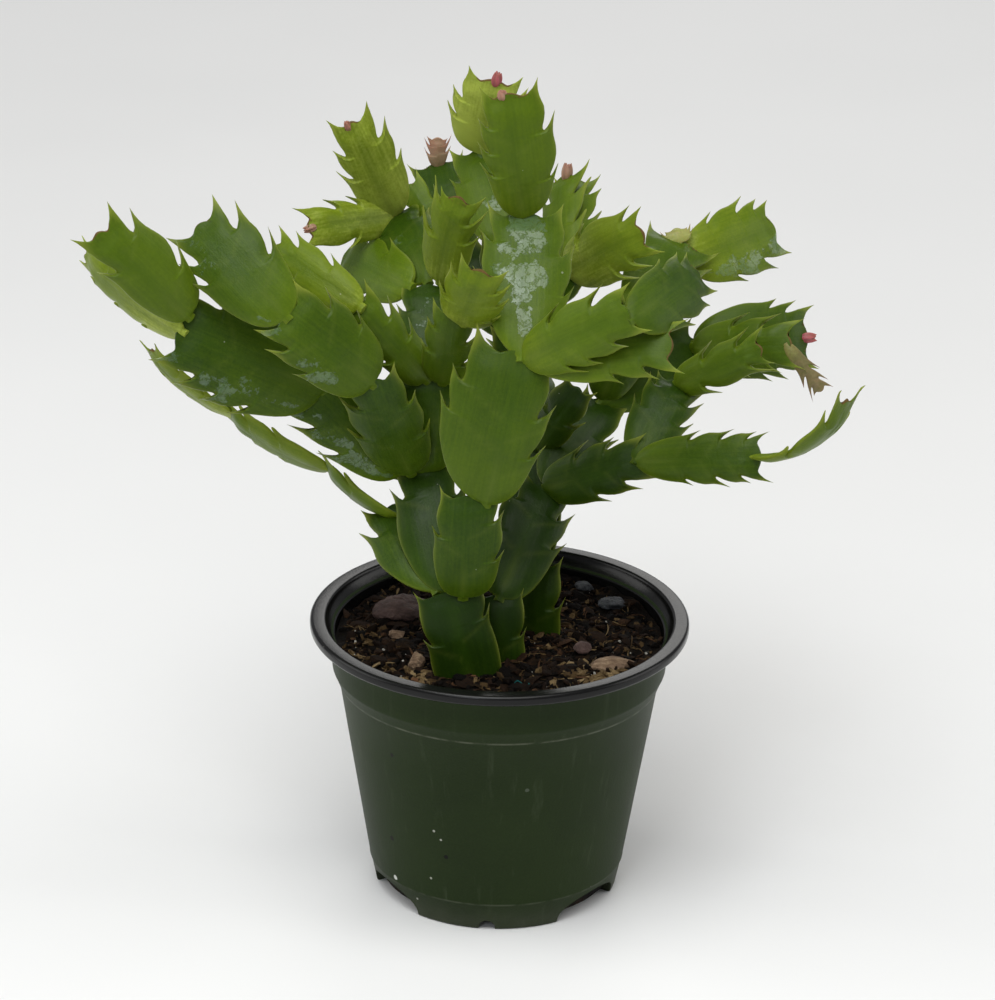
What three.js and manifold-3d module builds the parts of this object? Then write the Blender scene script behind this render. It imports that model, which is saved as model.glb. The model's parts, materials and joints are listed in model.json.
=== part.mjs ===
// A holiday cactus with pointed claws along its flat stem segments, in a round nursery pot.
// Millimetres, +Z up. The origin is the centre of the pot's flat underside.
// Seen from the front means looking along +Y, with +X to the right.

import * as THREE from 'three';
import * as BufferGeometryUtils from 'three/addons/utils/BufferGeometryUtils.js';
import Module from 'manifold-3d';

const wasm = await Module();
wasm.setup();

// Clearance between pieces that touch on the real plant
const GAP = 0.4;
const SOIL_HOLE_GAP = 0.7;

// Pot: a thin moulded shell with a rolled rim, an upper band and a tapered wall
const POT_HEIGHT = 87;
const RIM_RADIUS = 57.15;
const RIM_LIP = 3.3;
const RIM_INSIDE = 52.3;
const BAND_RADIUS = 51;
const SEAM_RADIUS = 48.3;
const SEAM_HEIGHT = 67.6;
const FOOT_LINE_RADIUS = 38.8;
const FOOT_LINE_HEIGHT = 9.2;
const BASE_RADIUS = 36.9;
const WALL = 1.3;
const FLOOR = 2.2;
const POT_SIDES = 30;
const ARCH_SEGMENTS = 4;
const ARCH_DEPTH = 12;

// Drain openings where the wall meets the floor, angles from the front towards the right
const ARCH_ANGLES = [51, 175, 300];
const ARCH_WIDTH = 26;
const ARCH_HEIGHT = 7.5;
const NOTCH_ANGLES = [-4, 113, 238];
const NOTCH_WIDTH = 5;
const NOTCH_HEIGHT = 3.2;

// Soil: its level below the rim, and the unevenness of its top
const SOIL_LEVEL = 80;
const SOIL_RIPPLE = 0.8;
const SOIL_RINGS = 3;

// Pads: the flat stem segments
const NECK = 3.2;
const SINK = 1.4;
const SWELL = 0.5;
const MARGIN_THICKNESS = 0.9;
const BLADE_THICKNESS = 1.9;
const RIB_THICKNESS = 2.6;
const ARCHING = 0.12;
const CORE_SHARE = 0.55;
const CORE_STATIONS = [0, 0.28, 0.62, 0.94];
const BUD_STATIONS = [0.05, 0.9];
const RIB_OVERRUN = 0.01;
const TAPER_POWER = 2.2;

// Outline of a pad, as shares of its length, of a claw, or of half its cut-off tip
const SHOULDER = 0.06;
const SWELL_PLACE = 0.6;
const CLAW_REACH = 0.75;
const CLAW_FLARE = 0.55;
const NOTCH_BITE = 0.2;
const HORN_REACH = 0.8;
const HORN_FLARE = 0.5;
const TIP_PLACE = 0.99;
const TIP_SHARE = 0.7;

// The face of a pad with no turn looks this way: to the front and a little up
const FACING = new THREE.Vector3(0, -0.92, 0.39);

// Colours
const PAD_YOUNG = 0x8fae3a;
const PAD_GREEN = 0x5f8a2c;
const PAD_DARK = 0x35591f;
const NEW_GROWTH = 0xb9897a;
const POT_GREEN = 0x2e3a27;
const SOIL_BROWN = 0x2a1e17;
const BARK_RED = 0x573a34;
const BARK_TAN = 0x9a7a57;
const STONE_GREY = 0x3d4147;

// The growth of the plant. A pad springs from the tip of another pad, or from a point, and ends
// with its tip at `to`. `wide` is its width without claws. `turn` turns its face about its own
// axis. `left` and `right` place the claws along each side, as shares of its length. `round` is
// the fullness of its base, low for full, and `end` is the width of its cut-off tip, as a share.
// `sides` makes the left and the right half wider or narrower.
const shoots = [
  {
    node: 'stem_front', colour: PAD_DARK,
    pads: [
      { id: 'foot_front', from: [-6, -26, 68], to: [-15, -27, 106], wide: 19, round: 0.25, end: 0.9,
        claw: 2.5, left: [0.62], right: [0.75] },
    ],
  },
  {
    node: 'stem_middle', colour: PAD_DARK,
    pads: [
      { id: 'foot_middle', from: [1, -14, 68], to: [0, -13, 99], wide: 13, round: 0.25, end: 0.9,
        claw: 2, left: [0.6], right: [0.6] },
      { id: 'right_trunk', from: 'foot_middle', to: [13, 14, 123], wide: 20, round: 0.5, end: 0.45,
        left: [0.5, 0.8], right: [0.5, 0.75] },
    ],
  },
  {
    node: 'stem_back', colour: PAD_DARK,
    pads: [
      { id: 'foot_back', from: [12, 6, 68], to: [12, 6, 101], wide: 13, turn: -20, round: 0.4, end: 0.7,
        claw: 3, left: [0.5], right: [0.6] },
    ],
  },
  {
    node: 'trunk_left', colour: PAD_DARK,
    pads: [
      { id: 'trunk_mid', from: [-15, -25, 106], to: [-23, -2, 134], wide: 21, left: [0.8], right: [0.75] },
      { id: 'trunk_side', from: [-19, -24, 106], to: [-32, 2, 121], wide: 22, turn: 10, round: 0.9,
        left: [0.72], right: [0.5] },
      { id: 'left_dark', from: [-28, -3, 136], to: [-53, -9, 163], wide: 24, round: 0.5, end: 0.8,
        claw: 5, left: [0.5, 0.8] },
      { id: 'mid_1', from: [-27, -4, 135], to: [-38, -21, 170], wide: 20, turn: -10, left: [0.5, 0.8] },
      { id: 'centre_1', from: [-24, -1, 134], to: [-22.5, -3, 165], wide: 20, round: 0.4, end: 0.9,
        left: [0.45, 0.75] },
    ],
  },
  {
    node: 'shoot_low_left', colour: PAD_GREEN,
    pads: [
      { id: 'low_1', from: [-30, -1, 119], to: [-52, 5, 132.5], wide: 12, turn: -80, left: [0.6],
        right: [0.6] },
      { id: 'low_2', from: 'low_1', to: [-82, 23, 142], wide: 14, turn: -68 },
      { id: 'low_3', from: 'low_2', to: [-104, 12, 166], wide: 11, turn: -74, end: 0.3, claw: 3 },
    ],
  },
  {
    node: 'shoot_front', colour: PAD_GREEN,
    pads: [
      { id: 'trunk_right', from: [-11, -28, 106], to: [-10, -31, 138], wide: 18.5, round: 0.35,
        end: 0.7, claw: 3, sides: [0.92, 1.08], left: [0.62], right: [0.4, 0.78] },
      { id: 'front_big', from: [-4, -31, 137], to: [5, -31, 183], wide: 29, bend: 3, end: 0.55, claw: 5,
        sides: [1.27, 0.73], left: [0.55, 0.75], right: [0.36, 0.62] },
      { id: 'front_shiny', from: 'front_big', to: [5, -1, 215], wide: 24.5, round: 0.9, end: 0.62,
        claw: 4.5, sides: [0.9, 1.1], left: [0.45, 0.79], right: [0.41, 0.69] },
      { id: 'front_top', from: 'front_shiny', to: [0, -5, 252.5], wide: 19.6, end: 0.58, claw: 3.6,
        sides: [0.85, 1.15], left: [0.38, 0.57, 0.77], right: [0.3, 0.69] },
    ],
  },
  {
    node: 'shoot_front_right', colour: PAD_YOUNG,
    pads: [
      { id: 'right_upper', from: [6, -31, 182], to: [34, -47, 203], wide: 17,
        left: [0.35, 0.75], right: [0.35, 0.55, 0.8] },
      { id: 'right_end', from: [36, -47, 201], to: [55, -19, 205], wide: 17.5, round: 0.5, end: 0.45,
        sides: [0.9, 1.1], left: [0.6, 0.85], right: [0.45, 0.8] },
      { id: 'right_under', from: [9, -28, 181], to: [46.5, -46, 193], wide: 17, turn: -20, round: 0.7,
        end: 0.6, left: [0.5, 0.8], right: [0.6, 0.82] },
    ],
  },
  {
    node: 'shoot_left', colour: PAD_GREEN,
    pads: [
      { id: 'left_wide', from: 'left_dark', to: [-93, -20, 185], wide: 29, round: 0.55, claw: 4.5,
        left: [0.4, 0.63, 0.8], right: [0.8] },
      { id: 'left_end', from: [-91.5, -21, 190], to: [-115, -32, 218], wide: 17.5, round: 0.45,
        end: 0.4, claw: 5, sides: [0.7, 1.3], left: [0.7], right: [0.33, 0.81] },
      { id: 'left_fold', from: 'left_wide', to: [-122, 0, 200], wide: 17, turn: -58, round: 0.5,
        end: 0.4, claw: 3, left: [0.3, 0.6, 0.85] },
    ],
  },
  {
    node: 'shoot_mid_left', colour: PAD_GREEN,
    pads: [
      { id: 'mid_2', from: 'mid_1', to: [-62.5, -28, 193], wide: 22.5, round: 0.42, sides: [0.9, 1.1],
        left: [0.53, 0.8] },
      { id: 'mid_3', from: 'mid_2', to: [-87.5, -14, 214.5], wide: 22, round: 0.5, end: 0.45, claw: 5,
        left: [0.6, 0.78], right: [0.42, 0.78] },
    ],
  },
  {
    node: 'shoot_centre', colour: PAD_GREEN,
    pads: [
      { id: 'centre_left', from: [-22.5, -4, 165], to: [-42, -12, 190.5], wide: 12.5, round: 0.4,
        end: 0.55, left: [0.4, 0.65, 0.85], right: [0.45, 0.72] },
      { id: 'centre_left_end', from: [-42, -13, 191], to: [-66.5, 3, 202.5], wide: 12.5, round: 0.5,
        end: 0.45, left: [0.65, 0.84], right: [0.4, 0.8] },
      { id: 'centre_right', from: [-18, -4, 164], to: [-15, -18, 191], wide: 13, round: 0.4, end: 0.6,
        claw: 3, left: [0.5, 0.8], right: [0.35, 0.65] },
      { id: 'centre_small', from: [-12, -18, 188], to: [-7, -33, 209], wide: 17, round: 0.5, claw: 3.5,
        left: [0.45, 0.8], right: [0.3, 0.6, 0.8] },
      { id: 'inner_blue', from: [-21, -2, 164], to: [-23, 19, 185], wide: 16, end: 0.7, claw: 3,
        right: [0.4, 0.75] },
    ],
  },
  {
    node: 'shoot_folded', colour: PAD_YOUNG,
    pads: [
      { id: 'folded', from: [-19, 19, 187], to: [-14, 8, 216], wide: 14.5, turn: -15, round: 0.5,
        end: 0.6, claw: 4.5, left: [0.55, 0.88], right: [0.6, 0.8] },
    ],
  },
  {
    node: 'shoot_back_left', colour: PAD_GREEN,
    pads: [
      { id: 'back_left_1', from: [-23, 22, 186], to: [-34, 53, 195], wide: 19, end: 0.6,
        right: [0.45, 0.75] },
      { id: 'back_left_up', from: 'back_left_1', to: [-46, 40, 228], wide: 16.5, round: 0.55, end: 0.4,
        sides: [0.9, 1.1], left: [0.52, 0.75], right: [0.51, 0.78] },
      { id: 'back_left_side', from: 'back_left_1', to: [-57.5, 29, 200], wide: 12, end: 0.6,
        left: [0.5], right: [0.42, 0.68] },
    ],
  },
  {
    node: 'shoot_back_left_low', colour: PAD_GREEN,
    pads: [
      { id: 'back_left_low', from: [-28, 20, 185], to: [-48, 50, 183], wide: 17, round: 0.45, end: 0.7,
        left: [0.4, 0.8] },
    ],
  },
  {
    node: 'shoot_right_low', colour: PAD_DARK,
    pads: [
      { id: 'low_right_1', from: 'right_trunk', to: [40, 1, 138], wide: 15, round: 0.5, right: [0.5, 0.8] },
      { id: 'low_right_2', from: 'low_right_1', to: [75, -13, 145.5], wide: 13.5, round: 0.8, end: 0.8,
        claw: 3, left: [0.45, 0.7, 0.9], right: [0.4, 0.65, 0.85] },
      { id: 'low_right_3', from: 'low_right_2', to: [99, -28, 168.5], wide: 12, turn: 78, bend: 5,
        round: 0.5, left: [0.35, 0.8] },
      { id: 'mid_right_1', from: 'low_right_1', to: [52, 22, 154], wide: 16, turn: -10, end: 0.6,
        left: [0.55, 0.85], right: [0.5, 0.75, 0.9] },
      { id: 'mid_right_2', from: 'mid_right_1', to: [75, 8, 171], wide: 11, round: 0.5, end: 0.6,
        left: [0.4, 0.8], right: [0.3, 0.85] },
    ],
  },
  {
    node: 'shoot_right_inner', colour: PAD_DARK,
    pads: [
      { id: 'right_inner_1', from: [14, 16, 123], to: [30, 36, 142], wide: 18, turn: -20,
        left: [0.6], right: [0.6] },
      { id: 'right_inner_2', from: 'right_inner_1', to: [58, 50, 156], wide: 17,
        left: [0.6], right: [0.6] },
      { id: 'right_back_1', from: [30, 37, 143], to: [40, 32, 173], wide: 15, left: [0.6], right: [0.6] },
    ],
  },
  {
    node: 'shoot_right_far', colour: PAD_GREEN,
    pads: [
      { id: 'right_far_upper', from: 'right_inner_2', to: [92, 59, 155.5], wide: 22, bend: 3, end: 0.6,
        left: [0.66, 0.82], right: [0.56, 0.7] },
      { id: 'right_far_lower', from: [58, 48, 156], to: [85, 31, 164], wide: 15, bend: 3, end: 0.6,
        left: [0.45, 0.75], right: [0.5, 0.8] },
    ],
  },
  {
    node: 'shoot_right_back', colour: PAD_GREEN,
    pads: [
      { id: 'right_back_2', from: 'right_back_1', to: [53, 58, 186], wide: 20, turn: -10, end: 0.85,
        claw: 4.5 },
      { id: 'right_back_3', from: [42, 34, 173], to: [56, 58, 180], wide: 12, left: [0.6], right: [0.6] },
      { id: 'right_back_4', from: 'right_back_3', to: [82, 79, 183.5], wide: 21, round: 0.5, end: 0.55,
        left: [0.3, 0.65, 0.85], right: [0.4, 0.75] },
    ],
  },
  {
    node: 'shoot_core', colour: PAD_DARK,
    pads: [
      { id: 'core_1', from: 'foot_back', to: [7, 34, 130], wide: 18, turn: -30, bend: 1,
        left: [0.6], right: [0.6] },
      { id: 'core_2', from: 'core_1', to: [3, 34, 165], wide: 16, turn: 20, bend: 1,
        left: [0.6], right: [0.6] },
      { id: 'core_3', from: 'core_2', to: [0, 25, 197], wide: 17, turn: -10, bend: 1,
        left: [0.6], right: [0.6] },
      { id: 'core_side', from: [10, 29, 130], to: [22, 11, 156], wide: 12, claw: 3,
        left: [0.6], right: [0.6] },
      { id: 'crown_left_1', from: 'core_2', to: [-13, 51, 183], wide: 16, bend: 1,
        left: [0.6], right: [0.6] },
      { id: 'crown_right_1', from: 'core_2', to: [18, 52, 178], wide: 15, bend: 1,
        left: [0.6], right: [0.6] },
    ],
  },
  {
    node: 'shoot_crown', colour: PAD_YOUNG,
    pads: [
      { id: 'crown_blue', from: 'core_3', to: [-7.5, 50, 217], wide: 20, bend: 1, end: 0.6, left: [0.7] },
      { id: 'crown_top', from: 'crown_blue', to: [-4, 37, 243], wide: 21, bend: 1, round: 0.45,
        claw: 3.3, left: [0.44, 0.69], right: [0.62, 0.84] },
    ],
  },
  {
    node: 'shoot_crown_left', colour: PAD_GREEN,
    pads: [
      { id: 'crown_left_2', from: 'crown_left_1', to: [-21, 77, 203], wide: 15, end: 0.8 },
      { id: 'crown_left_3', from: 'crown_left_1', to: [-29, 60, 202], wide: 10, claw: 3 },
    ],
  },
  {
    node: 'shoot_crown_right', colour: PAD_YOUNG,
    pads: [
      { id: 'crown_right_2', from: [19, 52.5, 178.5], to: [40, 32, 198], wide: 18, round: 0.55,
        left: [0.3, 0.85], right: [0.6, 0.8] },
      { id: 'crown_right_3', from: [18, 53, 178.5], to: [18, 81, 198], wide: 13, turn: -35, end: 0.7,
        claw: 4.5 },
      { id: 'crown_right_4', from: [19.5, 53.5, 178.5], to: [21.5, 86, 195], wide: 12.5, turn: -10,
        end: 0.7, right: [0.5, 0.8] },
    ],
  },
  {
    node: 'shoot_back_low', colour: PAD_GREEN,
    pads: [
      { id: 'back_low_1', from: [8, 37, 130], to: [8, 68, 138], wide: 17, left: [0.6], right: [0.6] },
      { id: 'back_low_2', from: 'back_low_1', to: [4, 100, 149], wide: 18, left: [0.45, 0.8] },
    ],
  },
  {
    node: 'shoot_back_high', colour: PAD_GREEN,
    pads: [
      { id: 'back_high_1', from: [3, 37, 164.5], to: [2, 70, 169], wide: 15, left: [0.6], right: [0.6] },
      { id: 'back_high_2', from: 'back_high_1', to: [0, 99, 184], wide: 14, end: 0.6,
        left: [0.6], right: [0.6] },
    ],
  },
  {
    node: 'shoot_back_side', colour: PAD_GREEN,
    pads: [
      { id: 'back_side_1', from: [-25, 1, 133], to: [-42, 31, 139], wide: 17, left: [0.6], right: [0.6] },
      { id: 'back_side_2', from: 'back_side_1', to: [-60, 60, 152], wide: 18, right: [0.5, 0.8] },
      { id: 'back_side_3', from: 'back_side_2', to: [-74, 88, 168], wide: 16, end: 0.6,
        left: [0.6], right: [0.6] },
    ],
  },
];

// New growth and flower buds at some tips
const newGrowth = [
  { node: 'bud_crown_top', from: [-3, 37, 243.5], to: [-2.5, 36, 248], wide: 4 },
  { node: 'bud_front_top', from: [-1.5, -5, 252], to: [-1.5, -5, 256], wide: 4 },
  { node: 'bud_back_left_up', from: [-46, 40, 228], to: [-47, 39, 231.5], wide: 3 },
  { node: 'bud_back_left_side', from: [-57.5, 29, 200], to: [-61, 28, 200], wide: 3.5 },
  { node: 'bud_crown_right', from: [18.5, 81, 198], to: [19, 82, 203.5], wide: 3.5 },
  { node: 'bud_right_far', from: [92, 59, 155.5], to: [96.5, 59, 155.5], wide: 4.5 },
  { node: 'young_crown_left', from: [-21, 77, 203], to: [-21, 76, 213], wide: 7 },
  { node: 'young_right_far', from: [85, 31, 164], to: [96, 27, 151], wide: 6 },
  { node: 'young_right_back', from: [53, 58, 186], to: [52, 60, 190], wide: 9 },
];

// Loose pieces lying in the top of the soil: centre, half sizes, turn about the vertical
const chips = [
  { node: 'bark_red', at: [-30, 15, 82], half: [9, 6.5, 4], turn: 25, colour: BARK_RED },
  { node: 'bark_tan_left', at: [-31, -1, 81], half: [3, 2, 1.5], turn: -20, colour: BARK_TAN },
  { node: 'bark_knob', at: [-24.5, -21.5, 81.5], half: [3.5, 2.5, 3], turn: 60, colour: BARK_TAN },
  { node: 'chip_slate', at: [34.5, 24, 81], half: [4.5, 3.5, 2], turn: 10, colour: STONE_GREY },
  { node: 'chip_grey', at: [26, 36, 81], half: [3.2, 2.4, 1.6], turn: -35, colour: STONE_GREY },
  { node: 'bark_red_small', at: [25, -9, 81], half: [3, 2.5, 2], turn: 40, colour: BARK_RED },
  { node: 'bark_tan_right', at: [34, -20, 81], half: [7, 3.5, 2], turn: 15, colour: BARK_TAN },
];

const vector = (triple) => new THREE.Vector3(...triple);

// A closed three.js geometry as a solid that can be joined and cut. Triangles that have no area
// where a lathe meets its axis are dropped.
function solidOf(geometry) {
  let shape = geometry.clone();
  for (const name of ['normal', 'uv']) shape.deleteAttribute(name);
  shape = BufferGeometryUtils.mergeVertices(shape, 1e-4);
  const corners = shape.index.array;
  const kept = [];
  for (let k = 0; k < corners.length; k += 3) {
    const [a, b, c] = [corners[k], corners[k + 1], corners[k + 2]];
    if (a !== b && b !== c && c !== a) kept.push(a, b, c);
  }
  return new wasm.Manifold(new wasm.Mesh({
    numProp: 3,
    vertProperties: new Float32Array(shape.attributes.position.array),
    triVerts: new Uint32Array(kept),
  }));
}

function geometryOf(solid) {
  const mesh = solid.getMesh();
  const shape = new THREE.BufferGeometry();
  shape.setAttribute('position', new THREE.BufferAttribute(mesh.vertProperties, 3));
  shape.setIndex(new THREE.BufferAttribute(mesh.triVerts, 1));
  shape.computeVertexNormals();
  return shape;
}

function namedMesh(name, geometry, colour, roughness = 0.5) {
  const material = new THREE.MeshStandardMaterial({ color: colour, roughness, metalness: 0 });
  const mesh = new THREE.Mesh(geometry, material);
  mesh.name = name;
  return mesh;
}

// A pad with its measures filled in and its own axes: along its length, across it, and out of its face
function measured(pad, carriers) {
  const from = Array.isArray(pad.from) ? vector(pad.from) : vector(carriers[pad.from].to);
  const along = vector(pad.to).sub(from);
  const length = along.length();
  along.normalize();
  const face = FACING.clone().addScaledVector(along, -FACING.dot(along)).normalize();
  const across = new THREE.Vector3().crossVectors(along, face);
  const turn = THREE.MathUtils.degToRad(pad.turn ?? 0);
  const out = face.clone().multiplyScalar(Math.cos(turn)).addScaledVector(across, Math.sin(turn));
  across.multiplyScalar(Math.cos(turn)).addScaledVector(face, -Math.sin(turn));
  const usual = {
    bend: 2, round: 0.6, end: 0.5, claw: 4, sides: [1, 1], left: [0.4, 0.72], right: [0.4, 0.72],
    neck: NECK, sink: SINK, swell: SWELL, stations: CORE_STATIONS,
  };
  return { ...usual, ...pad, start: from, along, across, out, length };
}

// Half the width of a pad's body at a share of its length: full at the middle, cut off at the tip
function halfWidth(pad, share) {
  const full = pad.wide / 2;
  const s = THREE.MathUtils.clamp(share, 0, 1);
  if (s < 0.5) {
    const rise = (1 - (1 - 2 * s) ** 2) ** pad.round;
    return pad.neck / 2 + (full - pad.neck / 2) * rise;
  }
  return full * (1 - (1 - pad.end) * (2 * s - 1) ** TAPER_POWER);
}

// One side of a pad's outline from neck to tip, as [along, across] pairs. Each stretch swells,
// runs out into a claw that points forward, and comes back to a notch.
function sideOutline(pad, claws) {
  const { length, claw } = pad;
  const points = [[-pad.sink, pad.neck / 2], [SHOULDER * length, halfWidth(pad, SHOULDER)]];
  let before = SHOULDER;
  for (const share of claws) {
    const body = halfWidth(pad, share);
    const swell = THREE.MathUtils.lerp(before, share, SWELL_PLACE);
    points.push([swell * length, halfWidth(pad, swell) + pad.swell]);
    points.push([share * length + CLAW_REACH * claw, body + CLAW_FLARE * claw]);
    points.push([share * length, body - NOTCH_BITE * claw]);
    before = share;
  }
  const tip = halfWidth(pad, 1);
  const swell = THREE.MathUtils.lerp(before, 1, SWELL_PLACE);
  points.push([swell * length, halfWidth(pad, swell) + pad.swell]);
  points.push([length + HORN_REACH * claw, tip + HORN_FLARE * claw]);
  points.push([TIP_PLACE * length, TIP_SHARE * tip]);
  return points;
}

// A point of a pad: along its length, across it, and out of the middle of its blade
function padPoint(pad, x, y, rise) {
  const share = x / pad.length;
  const bow = 4 * pad.bend * share * (1 - share) - ARCHING * y * y / (pad.wide / 2);
  return pad.start.clone()
    .addScaledVector(pad.along, x)
    .addScaledVector(pad.across, y)
    .addScaledVector(pad.out, bow + rise);
}

// A pad as one closed solid: two faces split alike, with a thick midrib, and a thin margin.
// `grow` makes it larger all round, for cutting its place out of what it touches.
function padSolid(pad, grow = 0) {
  const [leftShare, rightShare] = pad.sides;
  const right = sideOutline(pad, pad.right).map(([x, y]) => [x, y * rightShare]);
  const left = sideOutline(pad, pad.left).map(([x, y]) => [x, -y * leftShare]);
  const outline = [...right, ...left.reverse()];

  const rows = pad.stations.map((share) => {
    const reach = CORE_SHARE * halfWidth(pad, share);
    return [-reach * leftShare, 0, reach * rightShare].map((y) => [share * pad.length, y]);
  });
  const last = rows.length - 1;
  rows[0][1][0] -= RIB_OVERRUN * pad.length;
  rows[last][1][0] += RIB_OVERRUN * pad.length;
  const hole = [
    rows[0][0], rows[0][1],
    ...rows.map((row) => row[2]),
    rows[last][1],
    ...rows.map((row) => row[0]).slice(1).reverse(),
  ];
  const holeCorner = (row, column) => {
    if (column === 1) return row === 0 ? 1 : rows.length + 2;
    if (column === 2) return 2 + row;
    return row === 0 ? 0 : 2 * rows.length + 2 - row;
  };

  const asVector = ([x, y]) => new THREE.Vector2(x, y);
  const ring = THREE.ShapeUtils.triangulateShape(outline.map(asVector), [hole.map(asVector)]);
  const corner = (row, column) => outline.length + holeCorner(row, column);
  const flat = [...outline, ...hole];
  const middles = [];
  for (let row = 1; row < last; row += 1) {
    middles.push(flat.length);
    flat.push(rows[row][1]);
  }
  const index = (row, column) => {
    const inner = column === 1 && row > 0 && row < last;
    return inner ? middles[row - 1] : corner(row, column);
  };
  const strip = [];
  for (let row = 0; row < last; row += 1) {
    for (let column = 0; column < 2; column += 1) {
      const [a, b] = [index(row, column), index(row, column + 1)];
      const [c, d] = [index(row + 1, column + 1), index(row + 1, column)];
      strip.push([a, b, c], [a, c, d]);
    }
  }

  const isRib = (k) => middles.includes(k) || k === corner(0, 1) || k === corner(last, 1);
  const thickness = (k) => {
    if (k < outline.length) return MARGIN_THICKNESS;
    return isRib(k) ? RIB_THICKNESS : BLADE_THICKNESS;
  };
  const positions = [];
  const grown = [...widened(outline, grow), ...flat.slice(outline.length)];
  for (const side of [1, -1]) {
    grown.forEach(([x, y], k) => {
      positions.push(...padPoint(pad, x, y, side * (thickness(k) / 2 + grow)).toArray());
    });
  }
  const faces = [];
  const count = flat.length;
  // Seen from the face's side, along then across runs clockwise, so the front face is wound back
  for (const [a, b, c] of [...ring.map((t) => turned(t, flat)), ...strip.map((t) => turned(t, flat))]) {
    faces.push(a, c, b);
    faces.push(a + count, b + count, c + count);
  }
  outline.forEach((_, k) => {
    const next = (k + 1) % outline.length;
    faces.push(next, k, k + count, next, k + count, next + count);
  });
  return new wasm.Manifold(new wasm.Mesh({
    numProp: 3,
    vertProperties: new Float32Array(positions),
    triVerts: new Uint32Array(faces),
  }));
}

// A clockwise outline moved outward by a distance, with its corners kept short
function widened(points, distance) {
  const unit = ([x, y]) => [x / Math.hypot(x, y), y / Math.hypot(x, y)];
  return points.map(([x, y], k) => {
    const [px, py] = points[(k + points.length - 1) % points.length];
    const [nx, ny] = points[(k + 1) % points.length];
    const [before, after] = [unit([x - px, y - py]), unit([nx - x, ny - y])];
    const normal = unit([-before[1] - after[1], before[0] + after[0]]);
    const lean = Math.max(0.6, -before[1] * normal[0] + before[0] * normal[1]);
    return [x + normal[0] * distance / lean, y + normal[1] * distance / lean];
  });
}

// A flat triangle with its corners anticlockwise in along-across axes
function turned([a, b, c], flat) {
  const [p, q, r] = [flat[a], flat[b], flat[c]];
  const area = (q[0] - p[0]) * (r[1] - p[1]) - (r[0] - p[0]) * (q[1] - p[1]);
  return area > 0 ? [a, b, c] : [a, c, b];
}

// The pot's section from the middle of its underside round the outside and back along the inside
function potSection() {
  const bandTop = POT_HEIGHT - RIM_LIP;
  return [
    [0, 0],
    [BASE_RADIUS - 0.8, 0],
    [BASE_RADIUS, 0.8],
    [FOOT_LINE_RADIUS, FOOT_LINE_HEIGHT],
    [SEAM_RADIUS, SEAM_HEIGHT],
    [SEAM_RADIUS + 1.8, SEAM_HEIGHT + 4.5],
    [BAND_RADIUS, bandTop],
    [RIM_RADIUS, bandTop],
    [RIM_RADIUS, POT_HEIGHT - 0.9],
    [RIM_RADIUS - 0.9, POT_HEIGHT],
    [RIM_INSIDE, POT_HEIGHT],
    [BAND_RADIUS - WALL, bandTop - 1],
    [BAND_RADIUS - WALL - 0.2, SEAM_HEIGHT + 9],
    [SEAM_RADIUS - WALL, SEAM_HEIGHT + 1],
    [FOOT_LINE_RADIUS - WALL, FOOT_LINE_HEIGHT],
    [BASE_RADIUS - WALL, FLOOR],
    [0, FLOOR],
  ];
}

// A section turned about the upright axis
function lathe(section) {
  const profile = section.map(([radius, height]) => new THREE.Vector2(radius, height));
  const shape = new THREE.LatheGeometry(profile, POT_SIDES);
  shape.rotateX(Math.PI / 2);
  return shape;
}

// A drain opening: an arch cut through the wall and the edge of the floor
function archCutter(angle, width, height) {
  const arch = new THREE.Shape();
  arch.moveTo(-width / 2, -1);
  arch.lineTo(width / 2, -1);
  arch.lineTo(width / 2, height * 0.2);
  arch.absellipse(0, height * 0.2, width / 2, height * 0.8, 0, Math.PI, false);
  const cut = { depth: ARCH_DEPTH, bevelEnabled: false, curveSegments: ARCH_SEGMENTS };
  const shape = new THREE.ExtrudeGeometry(arch, cut);
  shape.rotateX(Math.PI / 2);
  shape.translate(0, -BASE_RADIUS + 6, 0);
  shape.rotateZ(THREE.MathUtils.degToRad(angle));
  return solidOf(shape);
}

function makePot() {
  let pot = solidOf(lathe(potSection()));
  for (const angle of ARCH_ANGLES) pot = pot.subtract(archCutter(angle, ARCH_WIDTH, ARCH_HEIGHT));
  for (const angle of NOTCH_ANGLES) pot = pot.subtract(archCutter(angle, NOTCH_WIDTH, NOTCH_HEIGHT));
  return pot;
}

// The soil's top, gently uneven
function soilHeight(x, y) {
  const waves = Math.sin(0.31 * x + 1) * Math.cos(0.27 * y) + 0.6 * Math.sin(0.17 * (x + y) + 2);
  return SOIL_LEVEL + SOIL_RIPPLE * waves;
}

function makeSoil(standing) {
  const topRadius = BAND_RADIUS - WALL - 0.5 - GAP;
  const section = [
    [0, FLOOR + GAP],
    [BASE_RADIUS - WALL - 2 * GAP, FLOOR + GAP],
    [FOOT_LINE_RADIUS - WALL - GAP, FOOT_LINE_HEIGHT],
    [SEAM_RADIUS - WALL - GAP, SEAM_HEIGHT + 1 - GAP],
    [topRadius, SEAM_HEIGHT + 9],
    [topRadius, SOIL_LEVEL],
  ];
  for (let ring = SOIL_RINGS - 1; ring >= 0; ring -= 1) {
    section.push([topRadius * ring / SOIL_RINGS, SOIL_LEVEL]);
  }
  const shape = lathe(section);
  const place = shape.attributes.position;
  for (let k = 0; k < place.count; k += 1) {
    const [x, y, z] = [place.getX(k), place.getY(k), place.getZ(k)];
    if (z > SOIL_LEVEL - 0.01) place.setZ(k, soilHeight(x, y));
  }
  let soil = solidOf(shape);
  for (const cutter of standing) soil = soil.subtract(cutter);
  return soil;
}

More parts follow.
